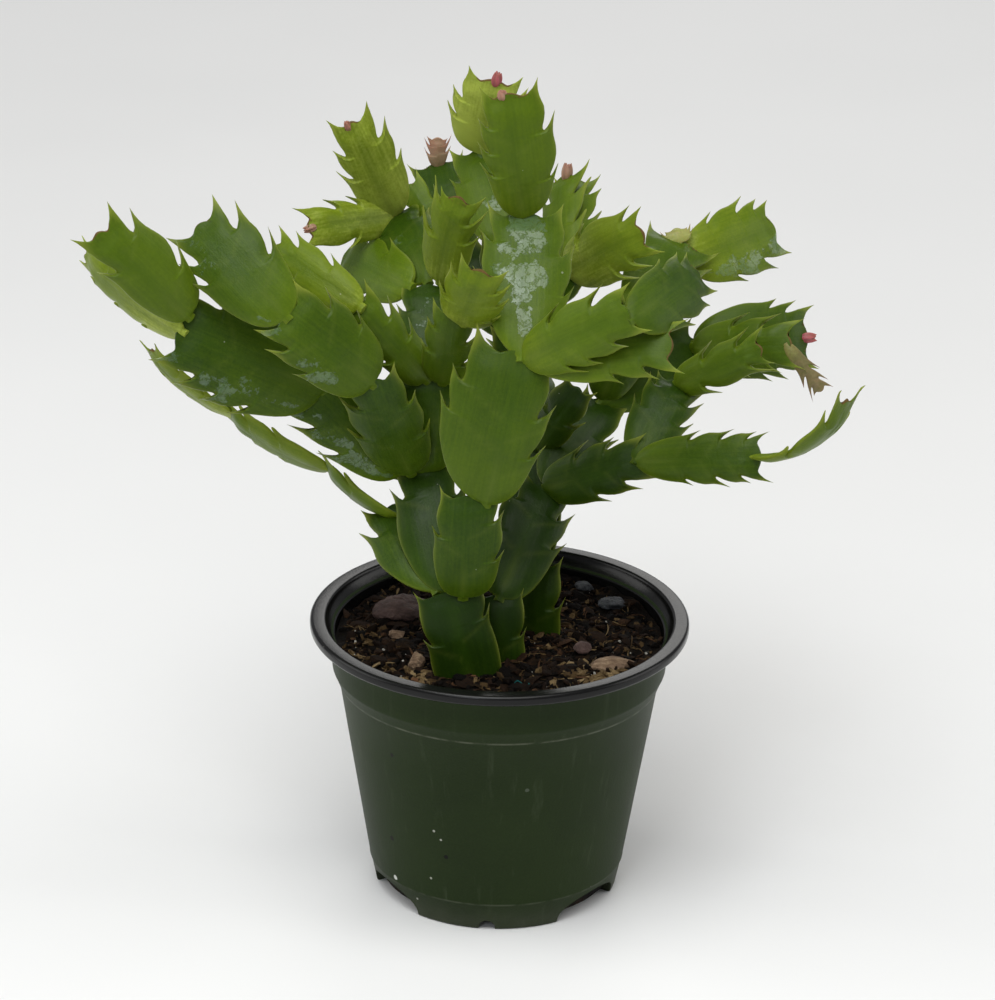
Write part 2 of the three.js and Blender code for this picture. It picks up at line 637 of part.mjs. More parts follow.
// A rough lump: a twelve-cornered ball pressed out of true
function chipSolid(chip, grow = 0) {
  const shape = new THREE.IcosahedronGeometry(1, chip.half[0] > 5 ? 1 : 0);
  const place = shape.attributes.position;
  const [halfX, halfY, halfZ] = chip.half.map((size) => size + grow);
  for (let k = 0; k < place.count; k += 1) {
    const [x, y, z] = [place.getX(k), place.getY(k), place.getZ(k)];
    const broad = 0.14 * Math.abs(Math.sin(5 * x + 3 * y + chip.turn));
    const uneven = 1 - broad - 0.1 * Math.abs(Math.cos(4 * z + 2 * x));
    place.setXYZ(k, x * halfX * uneven, y * halfY * uneven, z * halfZ * uneven);
  }
  shape.rotateZ(THREE.MathUtils.degToRad(chip.turn));
  shape.translate(...chip.at);
  return solidOf(shape);
}

const plant = new THREE.Group();

// Pads are worked out in order, so that each can spring from one before it
const carriers = {};
for (const shoot of shoots) {
  shoot.pads = shoot.pads.map((pad) => {
    carriers[pad.id] = measured(pad, carriers);
    return carriers[pad.id];
  });
}

// Each shoot is one solid, cut clear of the shoots and buds made before it
const taken = [];
function clearOfTaken(solid) {
  const box = solid.boundingBox();
  let clear = solid;
  for (const { cutter, box: other } of taken) {
    const apart = [0, 1, 2].some((k) => box.min[k] > other.max[k] || other.min[k] > box.max[k]);
    if (!apart) clear = clear.subtract(cutter);
  }
  return clear;
}

// Cutting clear can leave crumbs, so only the main body is kept
function mainBody(solid) {
  return solid.decompose().reduce((most, piece) => (piece.volume() > most.volume() ? piece : most));
}

function take(pads) {
  for (const pad of pads) {
    const cutter = padSolid(pad, GAP);
    taken.push({ cutter, box: cutter.boundingBox() });
  }
}

for (const shoot of shoots) {
  let solid = padSolid(shoot.pads[0]);
  for (const pad of shoot.pads.slice(1)) solid = solid.add(padSolid(pad));
  solid = clearOfTaken(solid);
  take(shoot.pads);
  plant.add(namedMesh(shoot.node, geometryOf(mainBody(solid)), shoot.colour, 0.4));
}

const budForm = {
  bend: 0.2, round: 0.5, claw: 0.8, left: [], right: [], neck: 1.8, sink: 0.6, swell: 0.1,
  stations: BUD_STATIONS,
};
for (const bud of newGrowth) {
  const young = measured({ ...budForm, ...bud }, carriers);
  plant.add(namedMesh(bud.node, geometryOf(mainBody(clearOfTaken(padSolid(young)))), NEW_GROWTH, 0.5));
}

const feet = ['foot_front', 'foot_middle', 'foot_back'].map((id) => padSolid(carriers[id], SOIL_HOLE_GAP));
const pockets = chips.map((chip) => chipSolid(chip, GAP));
plant.add(namedMesh('pot', geometryOf(makePot()), POT_GREEN, 0.45));
plant.add(namedMesh('soil', geometryOf(makeSoil([...feet, ...pockets])), SOIL_BROWN, 0.95));
for (const chip of chips) plant.add(namedMesh(chip.node, geometryOf(chipSolid(chip)), chip.colour, 0.9));

export default plant;
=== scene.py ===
"""A holiday cactus in a round nursery pot: flat claw-edged stem segments, soil, chips and pot."""

import json
import math
from types import SimpleNamespace

import bpy
import numpy as np
from mathutils import Matrix, Vector


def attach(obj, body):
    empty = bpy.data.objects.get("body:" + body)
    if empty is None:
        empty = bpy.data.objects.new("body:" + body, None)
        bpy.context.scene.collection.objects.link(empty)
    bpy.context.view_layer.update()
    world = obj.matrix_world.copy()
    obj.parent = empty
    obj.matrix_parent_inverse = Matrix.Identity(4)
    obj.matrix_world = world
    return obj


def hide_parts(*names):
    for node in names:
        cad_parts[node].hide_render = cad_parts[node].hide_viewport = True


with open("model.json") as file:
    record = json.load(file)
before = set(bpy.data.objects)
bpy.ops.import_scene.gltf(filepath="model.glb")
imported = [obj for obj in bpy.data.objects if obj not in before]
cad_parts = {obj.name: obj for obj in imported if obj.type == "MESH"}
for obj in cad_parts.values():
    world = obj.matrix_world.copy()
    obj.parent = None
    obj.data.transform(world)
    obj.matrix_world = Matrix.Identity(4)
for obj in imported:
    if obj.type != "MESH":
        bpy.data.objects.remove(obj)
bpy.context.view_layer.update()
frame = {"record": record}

MM = 0.001

# Seeds of the random draws. The lattice noises have their own, given where they are used
SEED = 11
YOUNG_SEED = SEED + 200
CHIP_SEED = SEED + 300

# Pads: the way most of them face, then the flat segments' form in millimetres and in shares
FACING = np.array([0, -0.92, 0.39])
MARGIN_THICKNESS = 0.9
MARGIN_ROUND = 0.45
BLADE_THICKNESS = 1.9
BLADE_RISE = 1.8
RIB_THICKNESS = 2.6
RIB_WIDTH = 1.2
TIP_THINNING = 0.6
ARCHING = 0.12
PILLOW = 0.55
PILLOW_LEAST_WIDTH = 10
TAPER_POWER = 2.2
TIP_SHARE = 0.7
TIP_BULGE = 0.38
LEAST_HALF_WIDTH = 0.3
CLAW_REACH = 1.38
CLAW_FLARE = 0.6
CLAW_LEAN = 1.9
CLAW_SIZES = (0.75, 1.2)
NOTCH_BITE = 0.42
HORN_SETBACK = 0.3

# A claw's edge, in claws: distance before or after its tip, and height over the body
CLAW_PLACES = [-1.4, -1.0, -0.65, -0.32, -0.11, 0, 0.06, 0.14, 0.36, 0.6, 0.85, 1.15, 1.5]
CLAW_HEIGHTS = [0, 0.03, 0.1, 0.25, 0.42, CLAW_FLARE, 0, -0.34, -NOTCH_BITE, -0.38, -0.24, -0.09, 0]

# The horns at a pad's tip are claws without a notch: how much of the claw's edge rises to the tip
CLAW_RISE = 6
HORN_PLACES = [*CLAW_PLACES[1:8], HORN_SETBACK]

# Where the columns lie across a pad, from its midrib to its edge
COLUMNS = np.array([0, 0.1, 0.22, 0.36, 0.5, 0.64, 0.76, 0.85, 0.91, 0.955, 0.985, 1])

# Waves in a pad's face: height, cell and what is added to the seed
WAVES = ((0.3, 9, 0), (0.1, 4, 500))

# Bristles: how far they spread from straight ahead, their lengths and their thickness
BRISTLE_SPREAD = 0.45
BRISTLE_LENGTHS = (0.35, 1.0)
BRISTLE_THICKNESS = 0.16

# How far a pad's painted marks reach, in millimetres
MARGIN_MARK = 0.55
RIB_SHADE_MARK = 1.9
MIDRIB_MARK = 1.1
VEIN_MARK = 0.8

# Buds: how deep they are sunk, and how far past the given tip they reach
BUD_SINK = 0.8
BUD_EXTRA = 1

# Pot, in millimetres and degrees
POT_HEIGHT = 87
RIM_RADIUS = 57.15
RIM_LIP = 3.3
RIM_INSIDE = 52.3
BAND_RADIUS = 51
BAND_TOP = POT_HEIGHT - RIM_LIP
SEAM_RADIUS = 48.3
SEAM_HEIGHT = 67.6
FOOT_RADIUS = 38.8
FOOT_HEIGHT = 9.2
BASE_RADIUS = 36.9
WALL = 1.3
FLOOR = 2.2
POT_SIDES = 180
ARCHES = dict(angles=(51, 175, 300), width=26, height=7.5)
NOTCHES = dict(angles=(-4, 113, 238), width=5, height=3.2)
CUTTER_REACH = 6

# Soil, in millimetres
SOIL_LEVEL = 80
SOIL_RADIUS = 49.3
SOIL_WAVE = 0.56
SOIL_SIDES = 220

# Camera: where it stands, what it looks along, and its lens
CAMERA_SIDE = -1.15 * MM
CAMERA_AIM_HEIGHT = 125.02 * MM
CAMERA_DISTANCE = 1454.8 * MM
CAMERA_ELEVATION = math.radians(23.12)
CAMERA_ROLL = math.radians(0.82)
CAMERA_LENS = 175.65


def unit(vectors):
    """One vector or rows of them, each divided by its own length."""
    return vectors / np.linalg.norm(vectors, axis=-1, keepdims=True)


# Where each pad ends, for the pads that grow from it
TIPS = {}


def pad(name, start, tip, wide, tone, left=(0.4, 0.72), right=None, **form):
    """One pad of the growth table, with its own axes: along its length, across it and out of its face.
    `start` is a point or the name of the pad that carries it. `tone` runs from 0, old and dark, to 1,
    young and yellow-green; the darkness of the low and inner pads is partly painted shade. `left` and
    `right` are its claws' places, as shares of its length; with no `right` both sides are the same.
    `wet` is the share of its face that shines, glossy and painted with a reflection, `pool` the side it
    shines on, from -1 to 1, and `tuft` is 1 where bristles stand at its free tip."""
    usual = dict(turn=0, bend=2, round=0.6, end=0.5, claw=4, sides=(1, 1), wet=0.15, pool=0, tuft=0,
                 neck=3.2, sink=1.4, swell=0.9, thick=1, step=1.9)
    shape = SimpleNamespace(**{**usual, **form}, wide=wide, tone=tone, left=left, right=right or left)
    TIPS[name] = np.array(tip, float)
    shape.start = TIPS[start] if isinstance(start, str) else np.array(start, float)
    shape.length = np.linalg.norm(TIPS[name] - shape.start)
    shape.along = (TIPS[name] - shape.start) / shape.length
    face = unit(FACING - shape.along * (FACING @ shape.along))
    side = np.cross(shape.along, face)
    turn = math.radians(shape.turn)
    shape.out = face * math.cos(turn) + side * math.sin(turn)
    shape.across = side * math.cos(turn) - face * math.sin(turn)
    return shape


# The growth of the plant, node by node. The low and inner pads' dark tones are partly painted shade
SHOOTS = {
    "stem_front": [
        pad("foot_front", (-6, -26, 68), (-15, -27, 106), 19, 0.04, [0.62], [0.75], round=0.25, end=0.9,
            claw=2.5, wet=0.2),
    ],
    "stem_middle": [
        pad("foot_middle", (1, -14, 68), (0, -13, 99), 13, 0, [0.6], round=0.25, end=0.9, claw=2),
        pad("right_trunk", "foot_middle", (13, 14, 123), 20, 0, [0.5, 0.8], [0.5, 0.75], round=0.5,
            end=0.45),
    ],
    "stem_back": [
        pad("foot_back", (12, 6, 68), (12, 6, 101), 13, 0.15, [0.5], [0.6], turn=-20, round=0.4, end=0.7,
            claw=3),
    ],
    "trunk_left": [
        pad("trunk_mid", (-15, -25, 106), (-23, -2, 134), 21, 0.15, [0.8], [0.75]),
        pad("trunk_side", (-19, -24, 106), (-32, 2, 121), 22, 0.25, [0.72], [0.5], turn=10, round=0.9),
        pad("left_dark", (-28, -3, 136), (-53, -9, 163), 24, 0.33, [0.5, 0.8], [0.4, 0.72], round=0.5,
            end=0.8, claw=5, pool=-1, wet=0.66),
        pad("mid_1", (-27, -4, 135), (-38, -21, 170), 20, 0.3, [0.5, 0.8], [0.4, 0.72], turn=-10, wet=0.4),
        pad("centre_1", (-24, -1, 134), (-22.5, -3, 165), 20, 0.3, [0.45, 0.75], [0.4, 0.72], round=0.4,
            end=0.9),
    ],
    "shoot_low_left": [
        pad("low_1", (-30, -1, 119), (-52, 5, 132.5), 12, 0.55, [0.6], turn=-80, wet=0),
        pad("low_2", "low_1", (-82, 23, 142), 14, 0.65, turn=-68, wet=0),
        pad("low_3", "low_2", (-104, 12, 166), 11, 0.8, turn=-74, end=0.3, claw=3, wet=0, tuft=1),
    ],
    "shoot_front": [
        pad("trunk_right", (-11, -28, 106), (-10, -31, 138), 18.5, 0.26, [0.62], [0.4, 0.78], round=0.35,
            end=0.7, claw=3, sides=(0.92, 1.08)),
        pad("front_big", (-4, -31, 137), (5, -31, 183), 29, 0.42, [0.55, 0.75], [0.36, 0.62], bend=3,
            end=0.55, claw=5, sides=(1.27, 0.73)),
        pad("front_shiny", "front_big", (5, -1, 215), 24.5, 0.45, [0.45, 0.79], [0.41, 0.69], round=0.9,
            end=0.62, claw=4.5, sides=(0.9, 1.1), wet=0.85),
        pad("front_top", "front_shiny", (0, -5, 252.5), 19.6, 0.56, [0.38, 0.57, 0.77], [0.3, 0.69],
            end=0.58, claw=3.6, sides=(0.85, 1.15), wet=0.05, tuft=1),
    ],
    "shoot_front_right": [
        pad("right_upper", (6, -31, 182), (34, -47, 203), 17, 0.55, [0.35, 0.75], [0.35, 0.55, 0.8]),
        pad("right_end", (36, -47, 201), (55, -19, 205), 17.5, 0.3, [0.6, 0.85], [0.45, 0.8], round=0.5,
            end=0.45, sides=(0.9, 1.1), wet=0.05, tuft=1),
        pad("right_under", (9, -28, 181), (46.5, -46, 193), 17, 0.5, [0.5, 0.8], [0.6, 0.82], turn=-20,
            round=0.7, end=0.6, tuft=1),
    ],
    "shoot_left": [
        pad("left_wide", "left_dark", (-93, -20, 185), 29, 0.31, [0.4, 0.63, 0.8], [0.8], round=0.55,
            claw=4.5, pool=-1, wet=0.64),
        pad("left_end", (-91.5, -21, 190), (-115, -32, 218), 17.5, 0.54, [0.7], [0.33, 0.81], round=0.45,
            end=0.4, claw=5, sides=(0.7, 1.3), wet=0.1, tuft=1),
        pad("left_fold", "left_wide", (-122, 0, 200), 17, 0.83, [0.3, 0.6, 0.85], [0.4, 0.72], turn=-58,
            round=0.5, end=0.4, claw=3, wet=0, tuft=1),
    ],
    "shoot_mid_left": [
        pad("mid_2", "mid_1", (-62.5, -28, 193), 22.5, 0.4, [0.53, 0.8], [0.4, 0.72], round=0.42,
            sides=(0.9, 1.1), pool=-1, wet=0.55),
        pad("mid_3", "mid_2", (-87.5, -14, 214.5), 22, 0.41, [0.6, 0.78], [0.42, 0.78], round=0.5, end=0.45,
            claw=5, pool=-1, wet=0.62, tuft=1),
    ],
    "shoot_centre": [
        pad("centre_left", (-22.5, -4, 165), (-42, -12, 190.5), 12.5, 0.5, [0.4, 0.65, 0.85], [0.45, 0.72],
            round=0.4, end=0.55),
        pad("centre_left_end", (-42, -13, 191), (-66.5, 3, 202.5), 12.5, 0.7, [0.65, 0.84], [0.4, 0.8],
            round=0.5, end=0.45, wet=0, tuft=1),
        pad("centre_right", (-18, -4, 164), (-15, -18, 191), 13, 0.45, [0.5, 0.8], [0.35, 0.65], round=0.4,
            end=0.6, claw=3),
        pad("centre_small", (-12, -18, 188), (-7, -33, 209), 17, 0.75, [0.45, 0.8], [0.3, 0.6, 0.8],
            round=0.5, claw=3.5, wet=0, tuft=1),
        pad("inner_blue", (-21, -2, 164), (-23, 19, 185), 16, 0.2, right=[0.4, 0.75], end=0.7, claw=3,
            wet=0.4),
    ],
    "shoot_folded": [
        pad("folded", (-19, 19, 187), (-14, 8, 216), 14.5, 0.7, [0.55, 0.88], [0.6, 0.8], turn=-15,
            round=0.5, end=0.6, claw=4.5, wet=0, tuft=1),
    ],
    "shoot_back_left": [
        pad("back_left_1", (-23, 22, 186), (-34, 53, 195), 19, 0.3, right=[0.45, 0.75], end=0.6, wet=0.3),
        pad("back_left_up", "back_left_1", (-46, 40, 228), 16.5, 0.88, [0.52, 0.75], [0.51, 0.78],
            round=0.55, end=0.4, sides=(0.9, 1.1), tuft=1),
        pad("back_left_side", "back_left_1", (-57.5, 29, 200), 12, 0.8, [0.5], [0.42, 0.68], end=0.6,
            tuft=1),
    ],
    "shoot_back_left_low": [
        pad("back_left_low", (-28, 20, 185), (-48, 50, 183), 17, 0.48, [0.4, 0.8], [0.4, 0.72], round=0.45,
            end=0.7, tuft=1),
    ],
    "shoot_right_low": [
        pad("low_right_1", "right_trunk", (40, 1, 138), 15, 0.14, right=[0.5, 0.8], round=0.5),
        pad("low_right_2", "low_right_1", (75, -13, 145.5), 13.5, 0.38, [0.45, 0.7, 0.9], [0.4, 0.65, 0.85],
            round=0.8, end=0.8, claw=3),
        pad("low_right_3", "low_right_2", (99, -28, 168.5), 12, 0.62, [0.35, 0.8], [0.4, 0.72], turn=78,
            bend=5, round=0.5, wet=0, tuft=1),
        pad("mid_right_1", "low_right_1", (52, 22, 154), 16, 0.18, [0.55, 0.85], [0.5, 0.75, 0.9], turn=-10,
            end=0.6, wet=0.3),
        pad("mid_right_2", "mid_right_1", (75, 8, 171), 11, 0.5, [0.4, 0.8], [0.3, 0.85], round=0.5,
            end=0.6, tuft=1),
    ],
    "shoot_right_inner": [
        pad("right_inner_1", (14, 16, 123), (30, 36, 142), 18, 0.12, [0.6], turn=-20),
        pad("right_inner_2", "right_inner_1", (58, 50, 156), 17, 0.25, [0.6]),
        pad("right_back_1", (30, 37, 143), (40, 32, 173), 15, 0.3, [0.6]),
    ],
    "shoot_right_far": [
        pad("right_far_upper", "right_inner_2", (92, 59, 155.5), 22, 0.36, [0.66, 0.82], [0.56, 0.7],
            bend=3, end=0.6, wet=0.35, tuft=1),
        pad("right_far_lower", (58, 48, 156), (85, 31, 164), 15, 0.45, [0.45, 0.75], [0.5, 0.8], bend=3,
            end=0.6, tuft=1),
    ],
    "shoot_right_back": [
        pad("right_back_2", "right_back_1", (53, 58, 186), 20, 0.42, turn=-10, end=0.85, claw=4.5, tuft=1),
        pad("right_back_3", (42, 34, 173), (56, 58, 180), 12, 0.4, [0.6]),
        pad("right_back_4", "right_back_3", (82, 79, 183.5), 21, 0.7, [0.3, 0.65, 0.85], [0.4, 0.75],
            round=0.5, end=0.55, pool=1, wet=0.76, tuft=1),
    ],
    "shoot_core": [
        pad("core_1", "foot_back", (7, 34, 130), 18, 0.1, [0.6], turn=-30, bend=1),
        pad("core_2", "core_1", (3, 34, 165), 16, 0.15, [0.6], turn=20, bend=1),
        pad("core_3", "core_2", (0, 25, 197), 17, 0.2, [0.6], turn=-10, bend=1),
        pad("core_side", (10, 29, 130), (22, 11, 156), 12, 0.12, [0.6], claw=3),
        pad("crown_left_1", "core_2", (-13, 51, 183), 16, 0.2, [0.6], bend=1),
        pad("crown_right_1", "core_2", (18, 52, 178), 15, 0.25, [0.6], bend=1),
    ],
    "shoot_crown": [
        pad("crown_blue", "core_3", (-7.5, 50, 217), 20, 0.5, [0.7], [0.4, 0.72], bend=1, end=0.6, wet=0.6),
        pad("crown_top", "crown_blue", (-4, 37, 243), 21, 0.98, [0.44, 0.69], [0.62, 0.84], bend=1,
            round=0.45, claw=3.3, wet=0, tuft=1),
    ],
    "shoot_crown_left": [
        pad("crown_left_2", "crown_left_1", (-21, 77, 203), 15, 0.25, end=0.8, tuft=1),
        pad("crown_left_3", "crown_left_1", (-29, 60, 202), 10, 0.62, claw=3, tuft=1),
    ],
    "shoot_crown_right": [
        pad("crown_right_2", (19, 52.5, 178.5), (40, 32, 198), 18, 0.81, [0.3, 0.85], [0.6, 0.8],
            round=0.55, tuft=1),
        pad("crown_right_3", (18, 53, 178.5), (18, 81, 198), 13, 0.58, turn=-35, end=0.7, claw=4.5, tuft=1),
        pad("crown_right_4", (19.5, 53.5, 178.5), (21.5, 86, 195), 12.5, 0.6, right=[0.5, 0.8], turn=-10,
            end=0.7, tuft=1),
    ],
    "shoot_back_low": [
        pad("back_low_1", (8, 37, 130), (8, 68, 138), 17, 0.3, [0.6]),
        pad("back_low_2", "back_low_1", (4, 100, 149), 18, 0.45, [0.45, 0.8], [0.4, 0.72], wet=0.5, tuft=1),
    ],
    "shoot_back_high": [
        pad("back_high_1", (3, 37, 164.5), (2, 70, 169), 15, 0.4, [0.6]),
        pad("back_high_2", "back_high_1", (0, 99, 184), 14, 0.62, [0.6], end=0.6, tuft=1),
    ],
    "shoot_back_side": [
        pad("back_side_1", (-25, 1, 133), (-42, 31, 139), 17, 0.3, [0.6]),
        pad("back_side_2", "back_side_1", (-60, 60, 152), 18, 0.42, right=[0.5, 0.8], wet=0.5),
        pad("back_side_3", "back_side_2", (-74, 88, 168), 16, 0.6, [0.6], end=0.6, tuft=1),
    ],
}

# Young segments, with claws of their own, and closed flower buds, by node
YOUNG_FORM = dict(bend=0.3, round=0.5, neck=1.8, sink=0.5, swell=0.1, thick=0.7, step=0.6, wet=0)
YOUNG = {
    "young_crown_left": pad("young_crown_left", (-21, 77, 203), (-21, 76, 211.8), 6, 0.45, [0.4, 0.74],
        [0.5, 0.8], claw=2.1, end=0.8, **YOUNG_FORM),
    "young_right_far": pad("young_right_far", (85, 31, 164), (95.5, 27, 151.5), 4.6, 0.75, [0.5, 0.78],
        [0.62, 0.85], claw=2.6, end=0.95, **YOUNG_FORM),
    "young_right_back": pad("young_right_back", (53, 58, 186), (52, 60, 189.5), 8.4, 1, [0.35, 0.68],
        [0.45, 0.76], claw=1.8, end=0.55, **YOUNG_FORM),
}
BUDS = {
    "bud_crown_top": ((-3.5, 37, 243), (-2.7, 36.3, 246.8), 3.6, 0.08),
    "bud_front_top": ((-1.5, -4.6, 252.5), (-1.5, -4.6, 254.8), 3.4, 0.36),
    "bud_back_left_up": ((-47, 40, 227.5), (-47.8, 39.3, 229.8), 2.5, 0.3),
    "bud_back_left_side": ((-57, 29, 200), (-60, 28.3, 199.3), 2.8, 0.4),
    "bud_crown_right": ((18.5, 81, 198), (19, 82, 203), 4, 0.42),
    "bud_right_far": ((92, 59, 155.5), (96, 59, 155.5), 3.6, 0.1),
}

# Loose pieces in the top of the soil: centre, half sizes, turn about the vertical
CHIPS = {
    "bark_red": ((-30, 15, 82), (9, 6.5, 4), 25),
    "bark_tan_left": ((-31, -1, 81), (3, 2, 1.5), -20),
    "bark_knob": ((-24.5, -21.5, 81.5), (3.5, 2.5, 3), 60),
    "chip_slate": ((34.5, 24, 81), (4.5, 3.5, 2), 10),
    "chip_grey": ((26, 36, 81), (3.2, 2.4, 1.6), -35),
    "bark_red_small": ((25, -9, 81), (3, 2.5, 2), 40),
    "bark_tan_right": ((34, -20, 81), (7, 3.5, 2), 15),
}


def smooth(low, high, value):
    """Rises from 0 at `low` to 1 at `high` along a soft S: 3 t squared minus 2 t cubed."""
    t = np.clip((value - low) / (high - low), 0, 1)
    return t * t * (3 - 2 * t)


def lattice_noise(x, y, cell, seed):
    """Smooth noise between -1 and 1: random values on a square lattice of the given cell, blended
    with the soft S of the place inside each cell."""
    size, shift = 64, 20.5
    values = np.random.default_rng(seed).uniform(-1, 1, (size, size))
    u, v = x / cell + shift, y / cell + shift
    i, j = np.floor(u).astype(int), np.floor(v).astype(int)
    a, b = smooth(0, 1, u - i), smooth(0, 1, v - j)

    def row(up):
        return values[i % size, (j + up) % size] * (1 - a) + values[(i + 1) % size, (j + up) % size] * a

    return row(0) * (1 - b) + row(1) * b


def circle(count):
    """Even steps round a circle, in radians."""
    return np.arange(count) * 2 * np.pi / count


def tube(rows, ring):
    """The quads of a closed tube whose points follow each other ring by ring."""
    here = np.arange(rows - 1)[:, None] * ring
    k, after = np.arange(ring), (np.arange(ring) + 1) % ring
    return np.stack([here + k, here + after, here + ring + after, here + ring + k], -1).reshape(-1, 4)


def capped_tube(rows, ring):
    """A tube's quads, and triangles to two points after its rings, which close its first and last ring."""
    k, after, point = np.arange(ring), (np.arange(ring) + 1) % ring, np.full(ring, rows * ring)
    last = (rows - 1) * ring
    caps = [np.stack([after, k, point], -1), np.stack([last + k, last + after, point + 1], -1)]
    return tube(rows, ring), np.concatenate(caps)


def inside_out(faces):
    """The same faces, looked at from the other side, each from its own first corner."""
    return np.concatenate([faces[:, :1], faces[:, :0:-1]], axis=1)


def repeated(faces, count, size):
    """The faces of one form, for `count` forms of `size` points each."""
    return (np.arange(count)[:, None, None] * size + np.asarray(faces)).reshape(-1, len(faces[0]))


def joined(parts):
    """Several (points, quads, triangles, values) sets as one, with the faces counted on."""
    points, quads, triangles, values, count = [], [], [], {}, 0
    for more, four, three, numbers in parts:
        points.append(more)
        quads.append(np.asarray(four, int).reshape(-1, 4) + count)
        triangles.append(np.asarray(three, int).reshape(-1, 3) + count)
        for label, number in numbers.items():
            values.setdefault(label, []).append(number)
        count += len(more)
    values = {label: np.concatenate(numbers) for label, numbers in values.items()}
    return np.concatenate(points), np.concatenate(quads), np.concatenate(triangles), values


def new_object(name, data):
    """An object for some data, put in the scene."""
    made = bpy.data.objects.new(name, data)
    bpy.context.scene.collection.objects.link(made)
    return made


def new_mesh(name, points, faces):
    """A mesh from points in millimetres and lists of corners."""
    mesh = bpy.data.meshes.new(name)
    mesh.from_pydata((np.asarray(points) * MM).tolist(), [], faces)
    return mesh


def smooth_shade(mesh, sharp):
    """Smooth shading, broken at edges sharper than an angle in degrees."""
    mesh.shade_smooth()
    mesh.set_sharp_from_angle(angle=math.radians(sharp))


def dress(node, ending, points, quads, triangles, values=None, sharp=50):
    """Puts a finer piece in a node's place, with the node's own material slot. It is made of points in
    millimetres, faces, and one value a point for each attribute."""
    name = f"{node}_{ending}"
    mesh = new_mesh(name, points, quads.tolist() + triangles.tolist())
    for label, numbers in (values or {}).items():
        kind, part = ("FLOAT_VECTOR", "vector") if numbers.ndim == 2 else ("FLOAT", "value")
        field = mesh.attributes.new(label, kind, "POINT")
        field.data.foreach_set(part, numbers.astype(np.float32).ravel())
    smooth_shade(mesh, sharp)
    mesh.validate()
    slot = next(row["material_slot"] for row in frame["record"]["subparts"] if row["node"] == node)
    mesh.materials.append(MATERIALS[slot])
    piece = new_object(name, mesh)
    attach(piece, "root")
    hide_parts(node)
    return piece


# Pads

def half_width(shape, share):
    """Half the width of a pad's body: a full round base, then a taper to the cut-off tip."""
    full, neck = shape.wide / 2, shape.neck / 2
    s = np.clip(share, 0, 1)
    rise = (1 - np.clip(1 - 2 * s, 0, 1) ** 2) ** shape.round
    taper = full * (1 - (1 - shape.end) * np.clip(2 * s - 1, 0, 1) ** TAPER_POWER)
    return np.where(s < 0.5, neck + (full - neck) * rise, taper)


def pad_edge(shape, x, claws, side, rng):
    """Half the width of a pad on one side, for stations x before they are leaned forward: the body,
    a swell between claws, an upright claw and notch, larger or smaller, at each share of the length,
    and a horn at the tip's corner. Then the same for the body alone."""
    length, claw = shape.length, shape.claw
    body = half_width(shape, x / length) * side
    marks = np.array([0, *claws, 1]) * length
    stretch = np.clip(np.searchsorted(marks, x, side="right") - 1, 0, len(marks) - 2)
    inside = np.clip((x - marks[stretch]) / (marks[stretch + 1] - marks[stretch]), 0, 1)
    edge = body + shape.swell * np.sin(np.pi * inside)
    for share in claws:
        size = claw * rng.uniform(*CLAW_SIZES)
        edge = edge + size * np.interp((x - share * length) / claw, CLAW_PLACES, CLAW_HEIGHTS, 0, 0)
    past = (x - length + HORN_SETBACK * claw) / claw
    rise = np.interp(past, CLAW_PLACES[:CLAW_RISE], CLAW_HEIGHTS[:CLAW_RISE], 0, CLAW_FLARE)
    edge = np.maximum(edge + claw * rise * np.interp(past, [0, HORN_SETBACK], [1, 0]), LEAST_HALF_WIDTH)
    last = TIP_SHARE * half_width(shape, 1.0) * side
    return np.where(x >= length - 1e-6, last, edge), body


def pad_rows(shape):
    """Stations along a pad: close together at the round base and at each claw, even between."""
    length, claw = shape.length, shape.claw
    horn = length - HORN_SETBACK * claw
    marks = np.array([*shape.left, *shape.right])[:, None] * length
    near = (marks + claw * np.array(CLAW_PLACES)).reshape(-1)
    rows = np.concatenate([
        [-shape.sink, -0.4 * shape.sink],
        0.3 * length * np.linspace(0, 1, 11) ** 2,
        np.arange(0.3 * length, horn - 0.3 * claw, shape.step),
        near[(near > 0) & (near < horn - 0.1 * claw)],
        horn + claw * np.array(HORN_PLACES),
        [length - 0.35],
    ])
    rows = np.unique(np.round(rows, 4))
    keep = np.concatenate([[True], np.diff(rows) > 0.03 * claw])
    keep[-1] = True
    return rows[keep]


